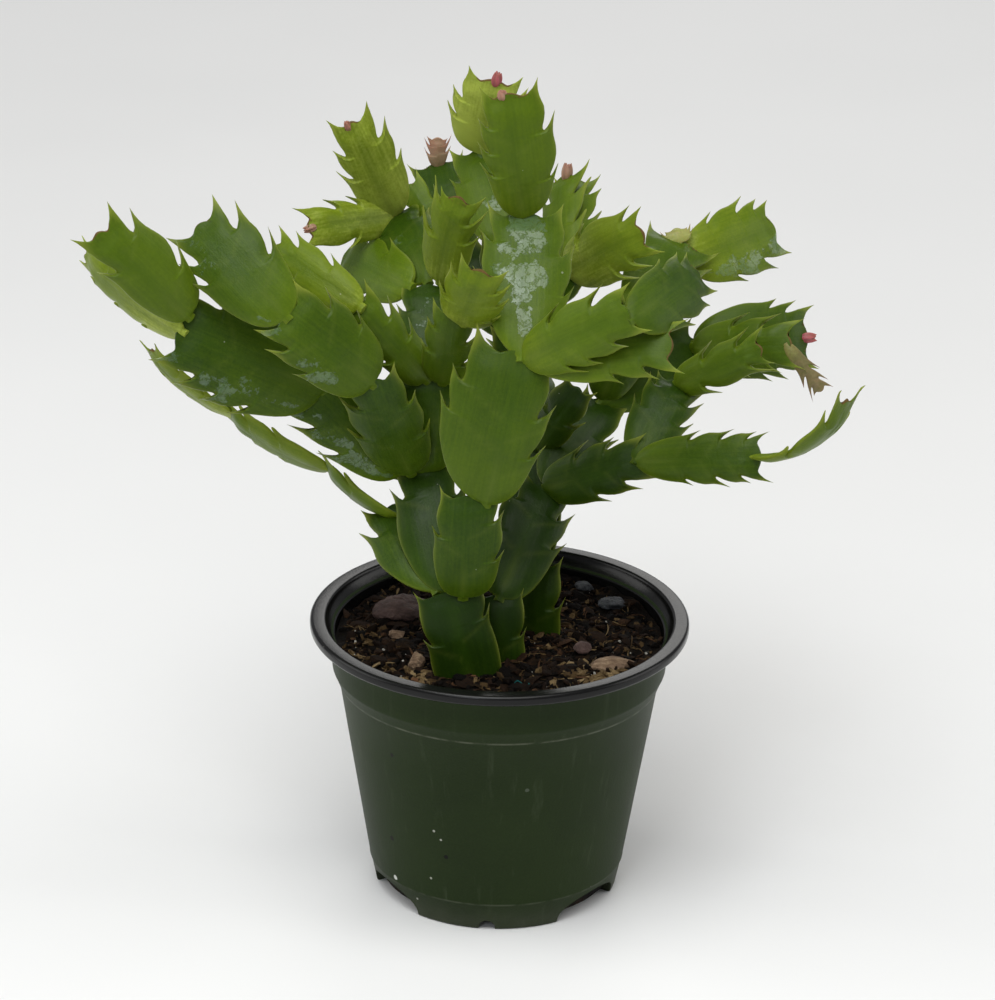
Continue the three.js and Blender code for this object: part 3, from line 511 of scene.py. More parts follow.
def pad_surface(shape, seed):
    """A pad as a closed skin on a grid of stations and columns. A column is a share of the way from
    the midrib to the clawed edge. What stands out past the notches leans forward by a power of its
    height, which makes the claws hook. The blade bows along its length, falls back towards its edges,
    and its thickness is a thin round margin, a fuller blade and a ridge at the midrib."""
    length, claw = shape.length, shape.claw
    rows = pad_rows(shape)
    rng = np.random.default_rng(seed)
    sides = [pad_edge(shape, rows, claws, size, rng)
             for claws, size in zip((shape.left, shape.right), shape.sides)]
    share = np.concatenate([-COLUMNS[:0:-1], COLUMNS])
    edge, body = [np.where(share < 0, left[:, None], right[:, None]) for left, right in zip(*sides)]
    x, y = rows[:, None], share * edge
    over = np.clip((np.abs(y) - body + NOTCH_BITE * claw) / ((CLAW_FLARE + NOTCH_BITE) * claw), 0, 1.15)
    tip_half = TIP_SHARE * half_width(shape, 1.0)
    bulge = TIP_BULGE * claw * smooth(0.8, 1, x / length) * (1 - np.clip(y / tip_half, -1, 1) ** 2)
    x = x + smooth(0.05, 0.3, x / length) * CLAW_REACH * claw * over ** CLAW_LEAN + bulge

    s = np.clip(x / length, -0.1, 1.1)
    inward = (1 - np.abs(share)) * edge
    margin = MARGIN_THICKNESS / 2 * np.sqrt(1 - (1 - np.clip(inward / MARGIN_ROUND, 0, 1)) ** 2)
    blade = (BLADE_THICKNESS - MARGIN_THICKNESS) / 2 * (1 - np.exp(-inward / BLADE_RISE))
    ridge = (RIB_THICKNESS - BLADE_THICKNESS) / 2 * np.exp(-(y / RIB_WIDTH) ** 2)
    half = (margin + blade + ridge) * (1 - TIP_THINNING * smooth(0.85, 1, s)) * shape.thick
    wave = sum(height * lattice_noise(x, y, cell, seed + more) for height, cell, more in WAVES)
    pillow = PILLOW * np.sin(np.pi * np.clip(np.abs(share) * 1.1, 0, 1))
    wave = wave + pillow * (shape.wide > PILLOW_LEAST_WIDTH)
    wave = wave * smooth(0, 0.15, s) * (1 - smooth(0.9, 1, s)) * shape.thick
    bow = 4 * shape.bend * s * (1 - s) - ARCHING * y * y / (shape.wide / 2)

    def around(front, back):
        """A field on the front face, and one on the back face without the two edges, as whole rings."""
        return np.concatenate([front, back[:, -2:0:-1]], axis=1)

    def placed(rise):
        return (shape.start + x[..., None] * shape.along + y[..., None] * shape.across
                + (bow + wave + rise)[..., None] * shape.out)

    points = around(placed(half), placed(-half))
    ring, last = points.shape[1], len(share) - 2
    tip = (len(rows) - 1) * ring
    j = np.arange(1, last)
    neck_cap = np.stack([j, ring - j, ring - j - 1, j + 1], -1)
    quads = np.concatenate([tube(len(rows), ring), neck_cap, tip + inside_out(neck_cap)])
    corners = np.array([[0, ring - 1, 1], [last, ring - last, last + 1],
                        [tip, tip + 1, tip + ring - 1], [tip + last, tip + last + 1, tip + ring - last]])

    # Where the glossy coat with its painted reflection lies across the face
    spread = (0.25 + 0.6 * smooth(0, 0.8, s)) * (1 - 0.35 * abs(shape.pool))
    film_and_reflection = np.exp(-((share - 0.65 * shape.pool) / spread) ** 2) * smooth(0, 0.12, s)
    veins = np.zeros_like(x)
    for side, claws in ((-1, shape.left), (1, shape.right)):
        for mark in claws:
            out = side * y / half_width(shape, mark)
            line = mark * length - 0.55 * half_width(shape, mark) * (1 - np.clip(out, 0, 1.2))
            veins = np.maximum(veins, np.exp(-((x - line) / VEIN_MARK) ** 2) * (out > 0))
    midrib = np.exp(-(y / MIDRIB_MARK) ** 2) * (1 - smooth(0.15, 0.5, s))
    base_cork = 0.3 * (1 - smooth(-0.01, 0.03, rows / length))[:, None]
    tip_cork = 0.72 * shape.tuft * smooth(-0.36, -0.15, rows - length)[:, None] * (over < 0.5)
    # Tone raised near the neck, lighter and yellower, and lowered towards the tip
    neck_to_tip_tone = 0.12 * (1 - smooth(0, 0.5, s)) - 0.05 * smooth(0.4, 0.9, s)
    values = {
        "margin": np.exp(-inward / MARGIN_MARK),
        # Painted shade along the midrib valley
        "rib": np.exp(-(y / RIB_SHADE_MARK) ** 2) * smooth(0, 0.1, s) * (1 - 0.6 * smooth(0.75, 1, s)),
        "vein": np.maximum(0.5 * veins, midrib) * smooth(0.02, 0.1, s),
        "claw": smooth(0.45, 1, over),
        "cork": np.maximum(tip_cork, base_cork),
        "tone": neck_to_tip_tone + shape.tone + rng.uniform(-0.03, 0.03),
        "wet": shape.wet * film_and_reflection,
    }
    values = {label: around(field, field).reshape(-1) for label, field in values.items()}
    lie = [around(x, x), around(y, y + 200), np.full(points.shape[:2], 40.0 * seed)]
    values["lie"] = np.stack(lie, axis=-1).reshape(-1, 3)
    return points.reshape(-1, 3), quads, corners, values


def plain_skin(points, tone):
    """The skin's attributes for a form without marks."""
    labels = ("margin", "rib", "vein", "claw", "cork", "wet")
    marks = {label: np.zeros(len(points)) for label in labels}
    return {**marks, "tone": np.full(len(points), tone), "lie": points * 1.0}


def tip_bristles(shape, seed):
    """A tuft along the cut-off tip of a pad: slim three-sided corky spikes, mostly straight ahead."""
    rng = np.random.default_rng(seed)
    count = int(7 + 2.2 * shape.wide * shape.end)
    reach = TIP_SHARE * half_width(shape, 1.0)
    base = (shape.start + shape.along * shape.length * 0.995
            + rng.uniform(-reach, reach, (count, 1)) * shape.across
            + rng.uniform(-0.3, 0.3, (count, 1)) * shape.out)
    lean = rng.normal(0, BRISTLE_SPREAD, (count, 2))
    ahead = unit(shape.along + lean[:, :1] * shape.across + lean[:, 1:] * shape.out)
    tip = base + ahead * rng.uniform(*BRISTLE_LENGTHS, (count, 1))
    side = unit(np.cross(ahead, [0.3, 0.5, 0.8]))
    other = np.cross(ahead, side)
    turn = circle(3)[:, None]
    rim = side[:, None] * np.cos(turn) + other[:, None] * np.sin(turn)
    foot = base[:, None] + rim * BRISTLE_THICKNESS
    points = np.concatenate([foot, tip[:, None]], axis=1).reshape(-1, 3)
    faces = repeated([(0, 1, 3), (1, 2, 3), (2, 0, 3), (0, 2, 1)], count, 4)
    return points, [], faces, {**plain_skin(points, 0.5), "cork": np.full(len(points), 0.95)}


def build_shoots():
    """Every node of grown pads: the skins of its pads and the bristles at its free tips, as one piece."""
    seed = SEED
    for node, pads in SHOOTS.items():
        parts = []
        for shape in pads:
            seed += 1
            parts.append(pad_surface(shape, seed))
            if shape.tuft:
                parts.append(tip_bristles(shape, seed))
        dress(node, "pads", *joined(parts))


def build_young():
    """Young segments: small thin pads with narrow claws of their own."""
    for number, (node, shape) in enumerate(YOUNG.items()):
        dress(node, "pad", *pad_surface(shape, YOUNG_SEED + number))


def build_buds():
    """Closed flower buds. On a grid of turn and height, the radius swells and closes, fluted by five
    scales, and each scale's tip stands up and out a little."""
    for node, (start, end, wide, tone) in BUDS.items():
        start, end = np.array(start, float), np.array(end, float)
        along = unit(end - start)
        length = np.linalg.norm(end - start) + BUD_EXTRA
        side = unit(np.cross(along, [0.2, -0.9, 0.3]))
        other = np.cross(along, side)
        up, turn = np.meshgrid(np.linspace(0, 1, 22), circle(40), indexing="ij")
        scales = np.abs(np.cos(2.5 * turn + 1.2 * up)) ** 1.5
        swell = np.sin(np.pi * (0.1 + 0.76 * up ** 0.9)) ** 0.7
        ragged = 0.5 + 0.5 * np.cos(3 * turn + 1.7)
        radius = 0.44 * wide * swell * (0.74 + 0.26 * scales) * (1 + 0.12 * up * ragged) + 0.05
        height = -BUD_SINK + length * up * (0.74 + (0.14 * scales + 0.12 * ragged) * up)
        points = (start + height[..., None] * along
                  + (radius * np.cos(turn))[..., None] * side + (radius * np.sin(turn))[..., None] * other)
        poles = [start - BUD_SINK * along, start + 0.62 * length * along]
        points = np.concatenate([points.reshape(-1, 3), poles])
        # On buds the margin value marks the folds between scales, where shade is painted
        values = {**plain_skin(points, tone), "margin": np.append(1 - scales, [0, 0]),
                  "claw": np.append(smooth(0.75, 1, up), [0, 1])}
        dress(node, "scales", points, *capped_tube(*up.shape), values, 70)


# Pot

def arc(x, z, radius, first, last, steps):
    """Points of a round corner of the pot's section, from one angle to another, in degrees."""
    angle = np.radians(np.linspace(first, last, steps))
    return [(x + radius * math.cos(a), z + radius * math.sin(a)) for a in angle]


def pot_section():
    """The section from the middle of the underside round the outside and back along the inside."""
    inner_seam, inner_foot = SEAM_RADIUS - WALL, FOOT_RADIUS - WALL
    return np.array([
        (0, 0), (BASE_RADIUS - 4, 0), (BASE_RADIUS - 1.2, 0),
        *arc(BASE_RADIUS - 0.9, 0.9, 0.9, -75, -8, 4),
        (FOOT_RADIUS - 0.25, FOOT_HEIGHT - 0.5), (FOOT_RADIUS + 0.1, FOOT_HEIGHT),
        (FOOT_RADIUS + 0.1, FOOT_HEIGHT + 0.6),
        (SEAM_RADIUS - 2.4, SEAM_HEIGHT - 15), (SEAM_RADIUS - 0.1, SEAM_HEIGHT - 0.7),
        (SEAM_RADIUS + 0.35, SEAM_HEIGHT), (SEAM_RADIUS + 0.8, SEAM_HEIGHT + 1.2),
        *arc(SEAM_RADIUS + 0.2, SEAM_HEIGHT + 4.6, 1.9, -35, 0, 4),
        (BAND_RADIUS - 0.5, SEAM_HEIGHT + 9), (BAND_RADIUS - 0.3, BAND_TOP - 0.6),
        *arc(BAND_RADIUS + 0.5, BAND_TOP - 0.5, 0.7, 170, 90, 4),
        (RIM_RADIUS - 1.2, BAND_TOP + 0.1),
        *arc(RIM_RADIUS - 1, BAND_TOP + 1.1, 1, -80, 0, 5),
        *arc(RIM_RADIUS - 1.1, POT_HEIGHT - 1.1, 1.1, 0, 90, 6),
        (RIM_RADIUS - (RIM_RADIUS - RIM_INSIDE) / 2, POT_HEIGHT - 0.12),
        *arc(RIM_INSIDE + 0.9, POT_HEIGHT - 0.9, 0.9, 90, 180, 5),
        (RIM_INSIDE - 0.6, BAND_TOP + 0.6), (BAND_RADIUS - WALL, BAND_TOP - 1),
        (BAND_RADIUS - WALL - 0.2, SEAM_HEIGHT + 9), (inner_seam, SEAM_HEIGHT + 1),
        (inner_foot, FOOT_HEIGHT), (BASE_RADIUS - WALL, FLOOR + 0.2), (0, FLOOR),
    ])


def turned_round(section, sides):
    """A section carried round the upright axis, closed by a point on the axis at both ends."""
    turn, body = circle(sides), section[1:-1]
    radius, height = body[:, None, 0], body[:, None, 1] + 0 * turn
    ring = np.stack([radius * np.sin(turn), -radius * np.cos(turn), height], axis=-1)
    poles = [[0, 0, section[0, 1]], [0, 0, section[-1, 1]]]
    return np.concatenate([ring.reshape(-1, 3), poles]), *capped_tube(len(body), sides)


def arch_cutter(angle, width, height):
    """A block with an arched top, set across the foot of the wall: a half ellipse over short sides."""
    turn = np.linspace(0, np.pi, 17)
    top = np.stack([-np.cos(turn) * width / 2, 0.2 * height + 0.8 * height * np.sin(turn)], axis=-1)
    outline = np.concatenate([[[-width / 2, -1]], top, [[width / 2, -1]]])
    depths = (-BASE_RADIUS + CUTTER_REACH, -BASE_RADIUS - CUTTER_REACH)
    points = [(x, y, z) for y in depths for x, z in outline]
    count = len(outline)
    ends = [list(range(count)), list(range(count, 2 * count))[::-1]]
    mesh = new_mesh("arch", points, inside_out(tube(2, count)).tolist() + ends)
    mesh.transform(Matrix.Rotation(math.radians(angle), 4, "Z"))
    return new_object("arch", mesh)


def build_pot():
    """The pot: its section turned round, with three arches and three notches cut through its foot."""
    piece = dress("pot", "shell", *turned_round(pot_section(), POT_SIDES))
    cutters = [arch_cutter(angle, cut["width"], cut["height"])
               for cut in (ARCHES, NOTCHES) for angle in cut["angles"]]
    for cutter in cutters:
        cut = piece.modifiers.new("cut", "BOOLEAN")
        cut.operation = "DIFFERENCE"
        cut.solver = "EXACT"
        cut.object = cutter
    whole = bpy.data.meshes.new_from_object(piece.evaluated_get(bpy.context.evaluated_depsgraph_get()))
    piece.modifiers.clear()
    piece.data = whole
    smooth_shade(whole, 35)
    for cutter in cutters:
        bpy.data.objects.remove(cutter)


# Soil

def soil_height(x, y):
    """The soil's top: the even level, a slow ripple, and clods of three sizes from lattice noise."""
    waves = np.sin(0.31 * x + 1) * np.cos(0.27 * y) + 0.6 * np.sin(0.17 * (x + y) + 2)
    clods = 0.75 * lattice_noise(x, y, 5.5, 1) + 0.5 * lattice_noise(x, y, 2.3, 2)
    return SOIL_LEVEL + SOIL_WAVE * waves + clods + 0.22 * lattice_noise(x, y, 1.1, 3)


def soil_body():
    """The body of soil: a section turned round, with its top raised and lowered by the soil height."""
    section = np.array([
        (0, FLOOR + 0.4), (BASE_RADIUS - WALL - 0.8, FLOOR + 0.4), (FOOT_RADIUS - WALL - 0.4, FOOT_HEIGHT),
        (SEAM_RADIUS - WALL - 0.4, SEAM_HEIGHT + 0.6), (SOIL_RADIUS, SEAM_HEIGHT + 9),
        *[(radius, SOIL_LEVEL) for radius in SOIL_RADIUS * np.linspace(1, 0.012, 70)], (0, SOIL_LEVEL),
    ])
    points, quads, caps = turned_round(section, SOIL_SIDES)
    on_top = points[:, 2] > SOIL_LEVEL - 0.01
    points[on_top, 2] = soil_height(points[on_top, 0], points[on_top, 1])
    shade = 0.5 + 0.35 * lattice_noise(points[:, 0], points[:, 1], 1.6, 5)
    return points, quads, caps, {"kind": np.zeros(len(points)), "shade": shade}


def scattered(rng, count, outer, centre=(0, 0)):
    """Random places on the soil, even over a disc about a centre."""
    radius = np.sqrt(rng.uniform(0, outer ** 2, count))
    turn = rng.uniform(0, 2 * np.pi, count)
    return centre[0] + radius * np.cos(turn), centre[1] + radius * np.sin(turn)


def tinted(rng, count, size, kind, shade, spread):
    """The soil's attributes for `count` forms of `size` points: one kind, and a shade for each form."""
    tint = np.repeat(np.clip(rng.normal(shade, spread, count), 0, 1), size)
    return {"kind": np.full(count * size, float(kind)), "shade": tint}


def turning(angle, first, second):
    """Matrices that turn about one axis by each angle, from the first of the other two to the second."""
    turned = np.repeat(np.eye(3)[:, :, None], len(angle), axis=2)
    turned[first, first] = turned[second, second] = np.cos(angle)
    turned[second, first] = np.sin(angle)
    turned[first, second] = -np.sin(angle)
    return turned


# A ball with twelve corners: a short and a long side at right angles, in the golden ratio
LONG = (1 + 5 ** 0.5) / 2
BALL = unit(np.array([(0, 1, LONG), (0, 1, -LONG), (0, -1, LONG), (0, -1, -LONG),
                      (1, LONG, 0), (1, -LONG, 0), (-1, LONG, 0), (-1, -LONG, 0),
                      (LONG, 0, 1), (-LONG, 0, 1), (LONG, 0, -1), (-LONG, 0, -1)]))
BALL_FACES = [(0, 2, 8), (0, 8, 4), (0, 4, 6), (0, 6, 9), (0, 9, 2), (3, 10, 5), (3, 5, 7),
              (3, 7, 11), (3, 11, 1), (3, 1, 10), (2, 5, 8), (8, 5, 10), (8, 10, 4), (4, 10, 1),
              (4, 1, 6), (6, 1, 11), (6, 11, 9), (9, 11, 7), (9, 7, 2), (2, 7, 5)]


def crumbs(rng, count, sizes, kind, shade, tilt=1.5, outer=SOIL_RADIUS - 1.2, centre=(0, 0)):
    """Lumps in the soil: twelve-cornered balls with each corner moved in or out, stretched to three
    half sizes, given any heading, tipped by up to `tilt` radians, and half sunk."""
    x, y = scattered(rng, count, outer, centre)
    half = rng.uniform(0.55, 1.25, (count, 1)) * np.array(sizes)
    shape = BALL * half[:, None, :] * rng.uniform(0.7, 1.3, (count, 12, 1))
    heading = turning(rng.uniform(0, 2 * np.pi, count), 0, 1)
    rolled = turning(rng.uniform(-tilt, tilt, count), 1, 2)
    pitched = turning(rng.uniform(-tilt, tilt, count), 2, 0)
    turned = np.einsum("ijn,jkn,kln->nil", heading, rolled, pitched)
    shape = np.einsum("nij,nkj->nki", turned, shape)
    height = soil_height(x, y) + 0.25 * half.min(axis=1)
    points = shape + np.stack([x, y, height], axis=-1)[:, None]
    faces = repeated(BALL_FACES, count, 12)
    return points.reshape(-1, 3), [], faces, tinted(rng, count, 12, kind, shade, 0.16)


def fibres(rng, count, length, thick, kind, shade):
    """Fibres and slivers: a three-sided strand through five places along a shallow random arc."""
    x, y = scattered(rng, count, SOIL_RADIUS - 0.6 * length)
    turn = rng.uniform(0, 2 * np.pi, count)[:, None]
    reach = rng.uniform(0.5, 1.2, count)[:, None] * length
    step = np.linspace(-0.5, 0.5, 5)
    aside = reach * rng.normal(0, 0.25, count)[:, None] * (0.25 - step ** 2) * 2
    px = x[:, None] + reach * step * np.cos(turn) - aside * np.sin(turn)
    py = y[:, None] + reach * step * np.sin(turn) + aside * np.cos(turn)
    pz = soil_height(px, py) + rng.uniform(0.1, 0.7, count)[:, None] + 0.12 * rng.normal(0, 1, (count, 5))
    girth = thick * np.array([0.35, 0.9, 1, 0.8, 0.25]) * rng.uniform(0.6, 1.4, count)[:, None]
    corner = circle(3)[:, None]
    side = np.stack([-np.sin(turn), np.cos(turn), 0 * turn], -1)[:, :, None]
    ring = np.cos(corner) * side * 1.6 + np.sin(corner) * np.array([0, 0, 0.8])
    points = np.stack([px, py, pz], -1)[:, :, None] + girth[:, :, None, None] * ring
    quads = repeated(inside_out(tube(5, 3)), count, 15)
    ends = repeated([(0, 1, 2), (14, 13, 12)], count, 15)
    return points.reshape(-1, 3), quads, ends, tinted(rng, count, 15, kind, shade, 0.18)


def teal_fibre():
    """One short blue-green thread that lies in the soil at the front."""
    step = np.linspace(0, 1, 9)
    x = 4.5 + 4.6 * step
    y = -33.2 + 0.9 * np.sin(5 * step)
    z = soil_height(x, y) + 0.75 + 0.3 * np.sin(9 * step)
    corner = circle(4)
    ring = 0.2 * np.stack([0 * corner, np.cos(corner), np.sin(corner)], -1)
    points = (np.stack([x, y, z], -1)[:, None] + ring).reshape(-1, 3)
    quads = np.concatenate([tube(9, 4), [(3, 2, 1, 0), (32, 33, 34, 35)]])
    return points, quads, [], {"kind": np.full(36, 4.0), "shade": np.full(36, 0.5)}


def build_soil():
    """The soil: its body, clods, bark crumbs, tan chips, white specks, fibres and one teal thread."""
    rng = np.random.default_rng(SEED)
    dress("soil", "bed", *joined([
        soil_body(),
        crumbs(rng, 900, (1.2, 0.9, 0.7), 0, 0.35),
        crumbs(rng, 420, (2.4, 1.4, 0.8), 1, 0.35, 0.9),
        crumbs(rng, 170, (2.0, 1.1, 0.6), 2, 0.4, 1.0),
        crumbs(rng, 90, (0.5, 0.45, 0.35), 3, 0.6),
        crumbs(rng, 60, (3.4, 2.2, 1.1), 1, 0.3, 0.5, SOIL_RADIUS - 4),
        crumbs(rng, 45, (2.8, 2.0, 1.4), 0, 0.5, 0.8, SOIL_RADIUS - 4),
        crumbs(rng, 45, (2.6, 1.3, 0.7), 2, 0.62, 0.6, 9, (30, -24)),
        crumbs(rng, 20, (2.4, 1.4, 0.8), 2, 0.6, 0.6, 6, (-25, -30)),
        fibres(rng, 420, 5.0, 0.24, 1, 0.55),
        fibres(rng, 240, 4.2, 0.28, 2, 0.35),
        fibres(rng, 140, 8.0, 0.15, 2, 0.7),
        teal_fibre(),
    ]), 38)


def build_chips():
    """The larger loose pieces: a finely split ball, flattened by nine soft planes, pitted by lattice
    noise of two sizes, stretched to its half sizes and turned."""
    up, around = np.meshgrid(np.linspace(0, np.pi, 30)[1:-1], circle(56), indexing="ij")
    x, y, z = np.sin(up) * np.cos(around), np.sin(up) * np.sin(around), np.cos(up)
    ball = np.stack([x, y, z], -1)
    quads, caps = capped_tube(*up.shape)
    for number, (node, (centre, half, turn)) in enumerate(CHIPS.items()):
        rng = np.random.default_rng(CHIP_SEED + number)
        facing = unit(rng.normal(0, 1, (9, 3)))
        reach = rng.uniform(0.68, 0.92, 9) / np.maximum(ball @ facing.T, 0.05)
        rough = 0.05 * lattice_noise(9 * x + 3 * z, 9 * y - 2 * z, 1.6, number)
        rough += 0.03 * lattice_noise(20 * x, 20 * y + 13 * z, 1.4, number + 9)
        size = np.minimum(1, reach.min(axis=-1)) + rough
        points = ball * size[..., None] * np.array(half)
        poles = [[0, 0, points[0, :, 2].max()], [0, 0, points[-1, :, 2].min()]]
        c, s = math.cos(math.radians(turn)), math.sin(math.radians(turn))
        points = np.concatenate([points.reshape(-1, 3), poles]) @ [[c, s, 0], [-s, c, 0], [0, 0, 1]]
        dress(node, "lump", points + np.array(centre), inside_out(quads), caps[:, [1, 0, 2]], None, 30)


# Materials

class Value:
    """An output of a node. Sums, differences, products and comparisons of outputs, and of an output
    and a plain number, add the maths nodes that work them out."""

    def __init__(self, wires, socket):
        self.wires, self.socket = wires, socket

    def __add__(self, other):
        return self.wires.math("ADD", self, other)

    def __sub__(self, other):
        return self.wires.math("SUBTRACT", self, other)

    def __rsub__(self, other):
        return self.wires.math("SUBTRACT", other, self)

    def __mul__(self, other):
        return self.wires.math("MULTIPLY", self, other)

    def __pow__(self, other):
        return self.wires.math("POWER", self, other)

    def __lt__(self, other):
        return self.wires.math("LESS_THAN", self, other)

    def __gt__(self, other):
        return self.wires.math("GREATER_THAN", self, other)

    def __abs__(self):
        return self.wires.math("ABSOLUTE", self)

    def held(self):
        """The same, held between 0 and 1."""
        self.socket.node.use_clamp = True
        return self


class Wires:
    """Short words for adding nodes to one node tree."""

    def __init__(self, tree):
        self.tree = tree

    def feed(self, socket, value):
        """Links a value to a socket, or sets the socket to a number, a colour or a vector."""
        if isinstance(value, Value):
            self.tree.links.new(value.socket, socket)
        elif isinstance(value, tuple) and len(value) == 3 and len(socket.default_value) == 4:
            socket.default_value = (*value, 1)
        else:
            socket.default_value = value

    def fed(self, node, values, output=0):
        """Feeds a node's inputs by place or name, and gives one of its outputs back."""
        for place, value in values.items():
            self.feed(node.inputs[place], value)
        return Value(self, node.outputs[output])

    def node(self, kind):
        return self.tree.nodes.new(f"ShaderNode{kind}")

    def math(self, operation, first, second=0.5):
        node = self.node("Math")
        node.operation = operation
        return self.fed(node, {0: first, 1: second})

    def blend(self, amount, first, second):
        node = self.node("Mix")
        node.data_type = "RGBA"
        return self.fed(node, {0: amount, 6: first, 7: second}, 2)

    def between(self, value, low, high, new_low=0.0, new_high=1.0):
        """Goes from the new low to the new high along a soft S while the value goes from low to high."""
        node = self.node("MapRange")
        node.interpolation_type = "SMOOTHSTEP"
        return self.fed(node, {0: value, 1: low, 2: high, 3: new_low, 4: new_high})

    def noise(self, place, scale, detail, rough=0.55, stretch=None):
        if stretch:
            place = self.fed(self.node("Mapping"), {"Vector": place, "Scale": stretch})
        values = {"Vector": place, "Scale": scale, "Detail": detail, "Roughness": rough}
        return self.fed(self.node("TexNoise"), values, "Fac")

    def cells(self, place, scale, output="Distance"):
        return self.fed(self.node("TexVoronoi"), {"Vector": place, "Scale": scale}, output)

    def place(self):
        return Value(self, self.node("TexCoord").outputs["Object"])

    def given(self, label, output="Fac"):
        """One of the values that the mesh holds for each of its points."""
        node = self.node("Attribute")
        node.attribute_name = label
        return Value(self, node.outputs[output])

    def split(self, kind, value):
        node = self.node(f"Separate{kind}")
        self.feed(node.inputs[0], value)
        return [Value(self, part) for part in node.outputs]

    def ramp(self, value, *stops):
        node = self.node("ValToRGB")
        band = node.color_ramp
        while len(band.elements) < len(stops):
            band.elements.new(0.5)
        for element, (place, colour) in zip(band.elements, stops):
            element.position = place
            element.color = (*colour, 1)
        return self.fed(node, {0: value})

    def bump(self, height, strength, distance, **normal):
        values = {"Height": height, "Strength": strength, "Distance": distance, **normal}
        return self.fed(self.node("Bump"), values)

    def group(self, name, **inputs):
        """The outputs of one of the shared groups, by name."""
        node = self.node("Group")
        node.node_tree = GROUPS[name]
        self.fed(node, inputs)
        return {made.name: Value(self, made) for made in node.outputs}

    def mottle(self, broad, fine, share):
        return self.group("mottle", Broad=broad, Fine=fine, Share=share)["Factor"]

    def specks(self, scale, share, size):
        return self.group("specks", Scale=scale, Share=share, Size=size)["Mask"]

    def surface(self, **values):
        """Feeds the Principled shader's inputs, whose names here have lines for spaces."""
        shader = self.tree.nodes["Principled BSDF"]
        self.fed(shader, {label.replace("_", " "): value for label, value in values.items()})


def material(name):
    """A material with only its Principled shader, and the words for wiring it."""
    made = bpy.data.materials.new(name)
    made.use_nodes = True
    return made, Wires(made.node_tree)


def node_group(name, wiring, **inputs):
    """A shader group of numbers. `wiring` gets the words for wiring it and its inputs, and gives its
    outputs back by name."""
    tree = bpy.data.node_groups.new(name, "ShaderNodeTree")
    for label, usual in inputs.items():
        socket = tree.interface.new_socket(label, in_out="INPUT", socket_type="NodeSocketFloat")
        socket.default_value = usual
    wires = Wires(tree)
    start = tree.nodes.new("NodeGroupInput")
    made = wiring(wires, *[Value(wires, start.outputs[label]) for label in inputs])
    for label in made:
        tree.interface.new_socket(label, in_out="OUTPUT", socket_type="NodeSocketFloat")
    end = tree.nodes.new("NodeGroupOutput")
    for label, value in made.items():
        wires.feed(end.inputs[label], value)
    return tree


def mottle_wiring(wires, broad, fine, share):
    """Two sizes of noise as one factor round a half: broad patches and a fine grain."""
    place = wires.place()
    return {"Factor": wires.noise(place, broad, 3) * (1.0 - share) + wires.noise(place, fine, 4) * share}


def wet_and_reflection_wiring(wires, wetness_and_reflection):
    """Where a waxy face shines under a moist coat, from a share of 0 to 1, with thin cracks, and the coat's
    crinkle. The same mask places a painted grey-green reflection.
    """
    place = wires.place()
    patch = wires.noise(place, 95.0, 7, 0.68)
    film_and_reflection = wires.between(patch - (0.75 - wetness_and_reflection * 0.42), 0.0, 0.02)
    crinkle = wires.noise(place, 330.0, 5, 0.6)
    return {"Film_and_reflection": film_and_reflection * wires.between(abs(crinkle - 0.5), 0.008, 0.035, 0.25), "Crinkle": crinkle}


def specks_wiring(wires, scale, share, size):
    """Small scattered dots on a surface: a few cells of a grid, each with a dot at its middle."""
    place = wires.place()
    distance = wires.cells(place, scale)
    pick, width, _ = wires.split("Color", wires.cells(place, scale, "Color"))
    return {"Mask": (pick < share) * (distance < width * size)}


GROUPS = {
    "mottle": node_group("mottle", mottle_wiring, Broad=60.0, Fine=700.0, Share=0.35),
    "wet": node_group("wet_film", wet_and_reflection_wiring, Wetness=0.3),
    "specks": node_group("specks", specks_wiring, Scale=300.0, Share=0.06, Size=0.18),
}

# Skin colours from old to young, the darkest partly painted shade, and the marks painted over them:
# attribute, strength and colour
SKIN_STOPS = [
    (0.0, (0.012, 0.03, 0.002)), (0.2, (0.025, 0.055, 0.003)), (0.4, (0.055, 0.098, 0.004)),
    (0.6, (0.088, 0.142, 0.005)), (0.8, (0.15, 0.205, 0.01)), (1.0, (0.38, 0.45, 0.07)),
]
# The first of these marks is painted shade along the midrib valley
SKIN_MARKS = [
    ("rib", 0.3, (0.03, 0.07, 0.002)), ("vein", 0.2, (0.17, 0.21, 0.035)),
    ("margin", 0.38, (0.19, 0.235, 0.018)), ("claw", 0.6, (0.27, 0.3, 0.045)),
]
CORK_COLOUR = (0.12, 0.072, 0.022)
SPECK_COLOUR = (0.5, 0.52, 0.4)
# Painted reflection: the grey-green that the glossy patches' colour is blended towards
PAINTED_REFLECTION_COLOUR = (0.15, 0.235, 0.16)


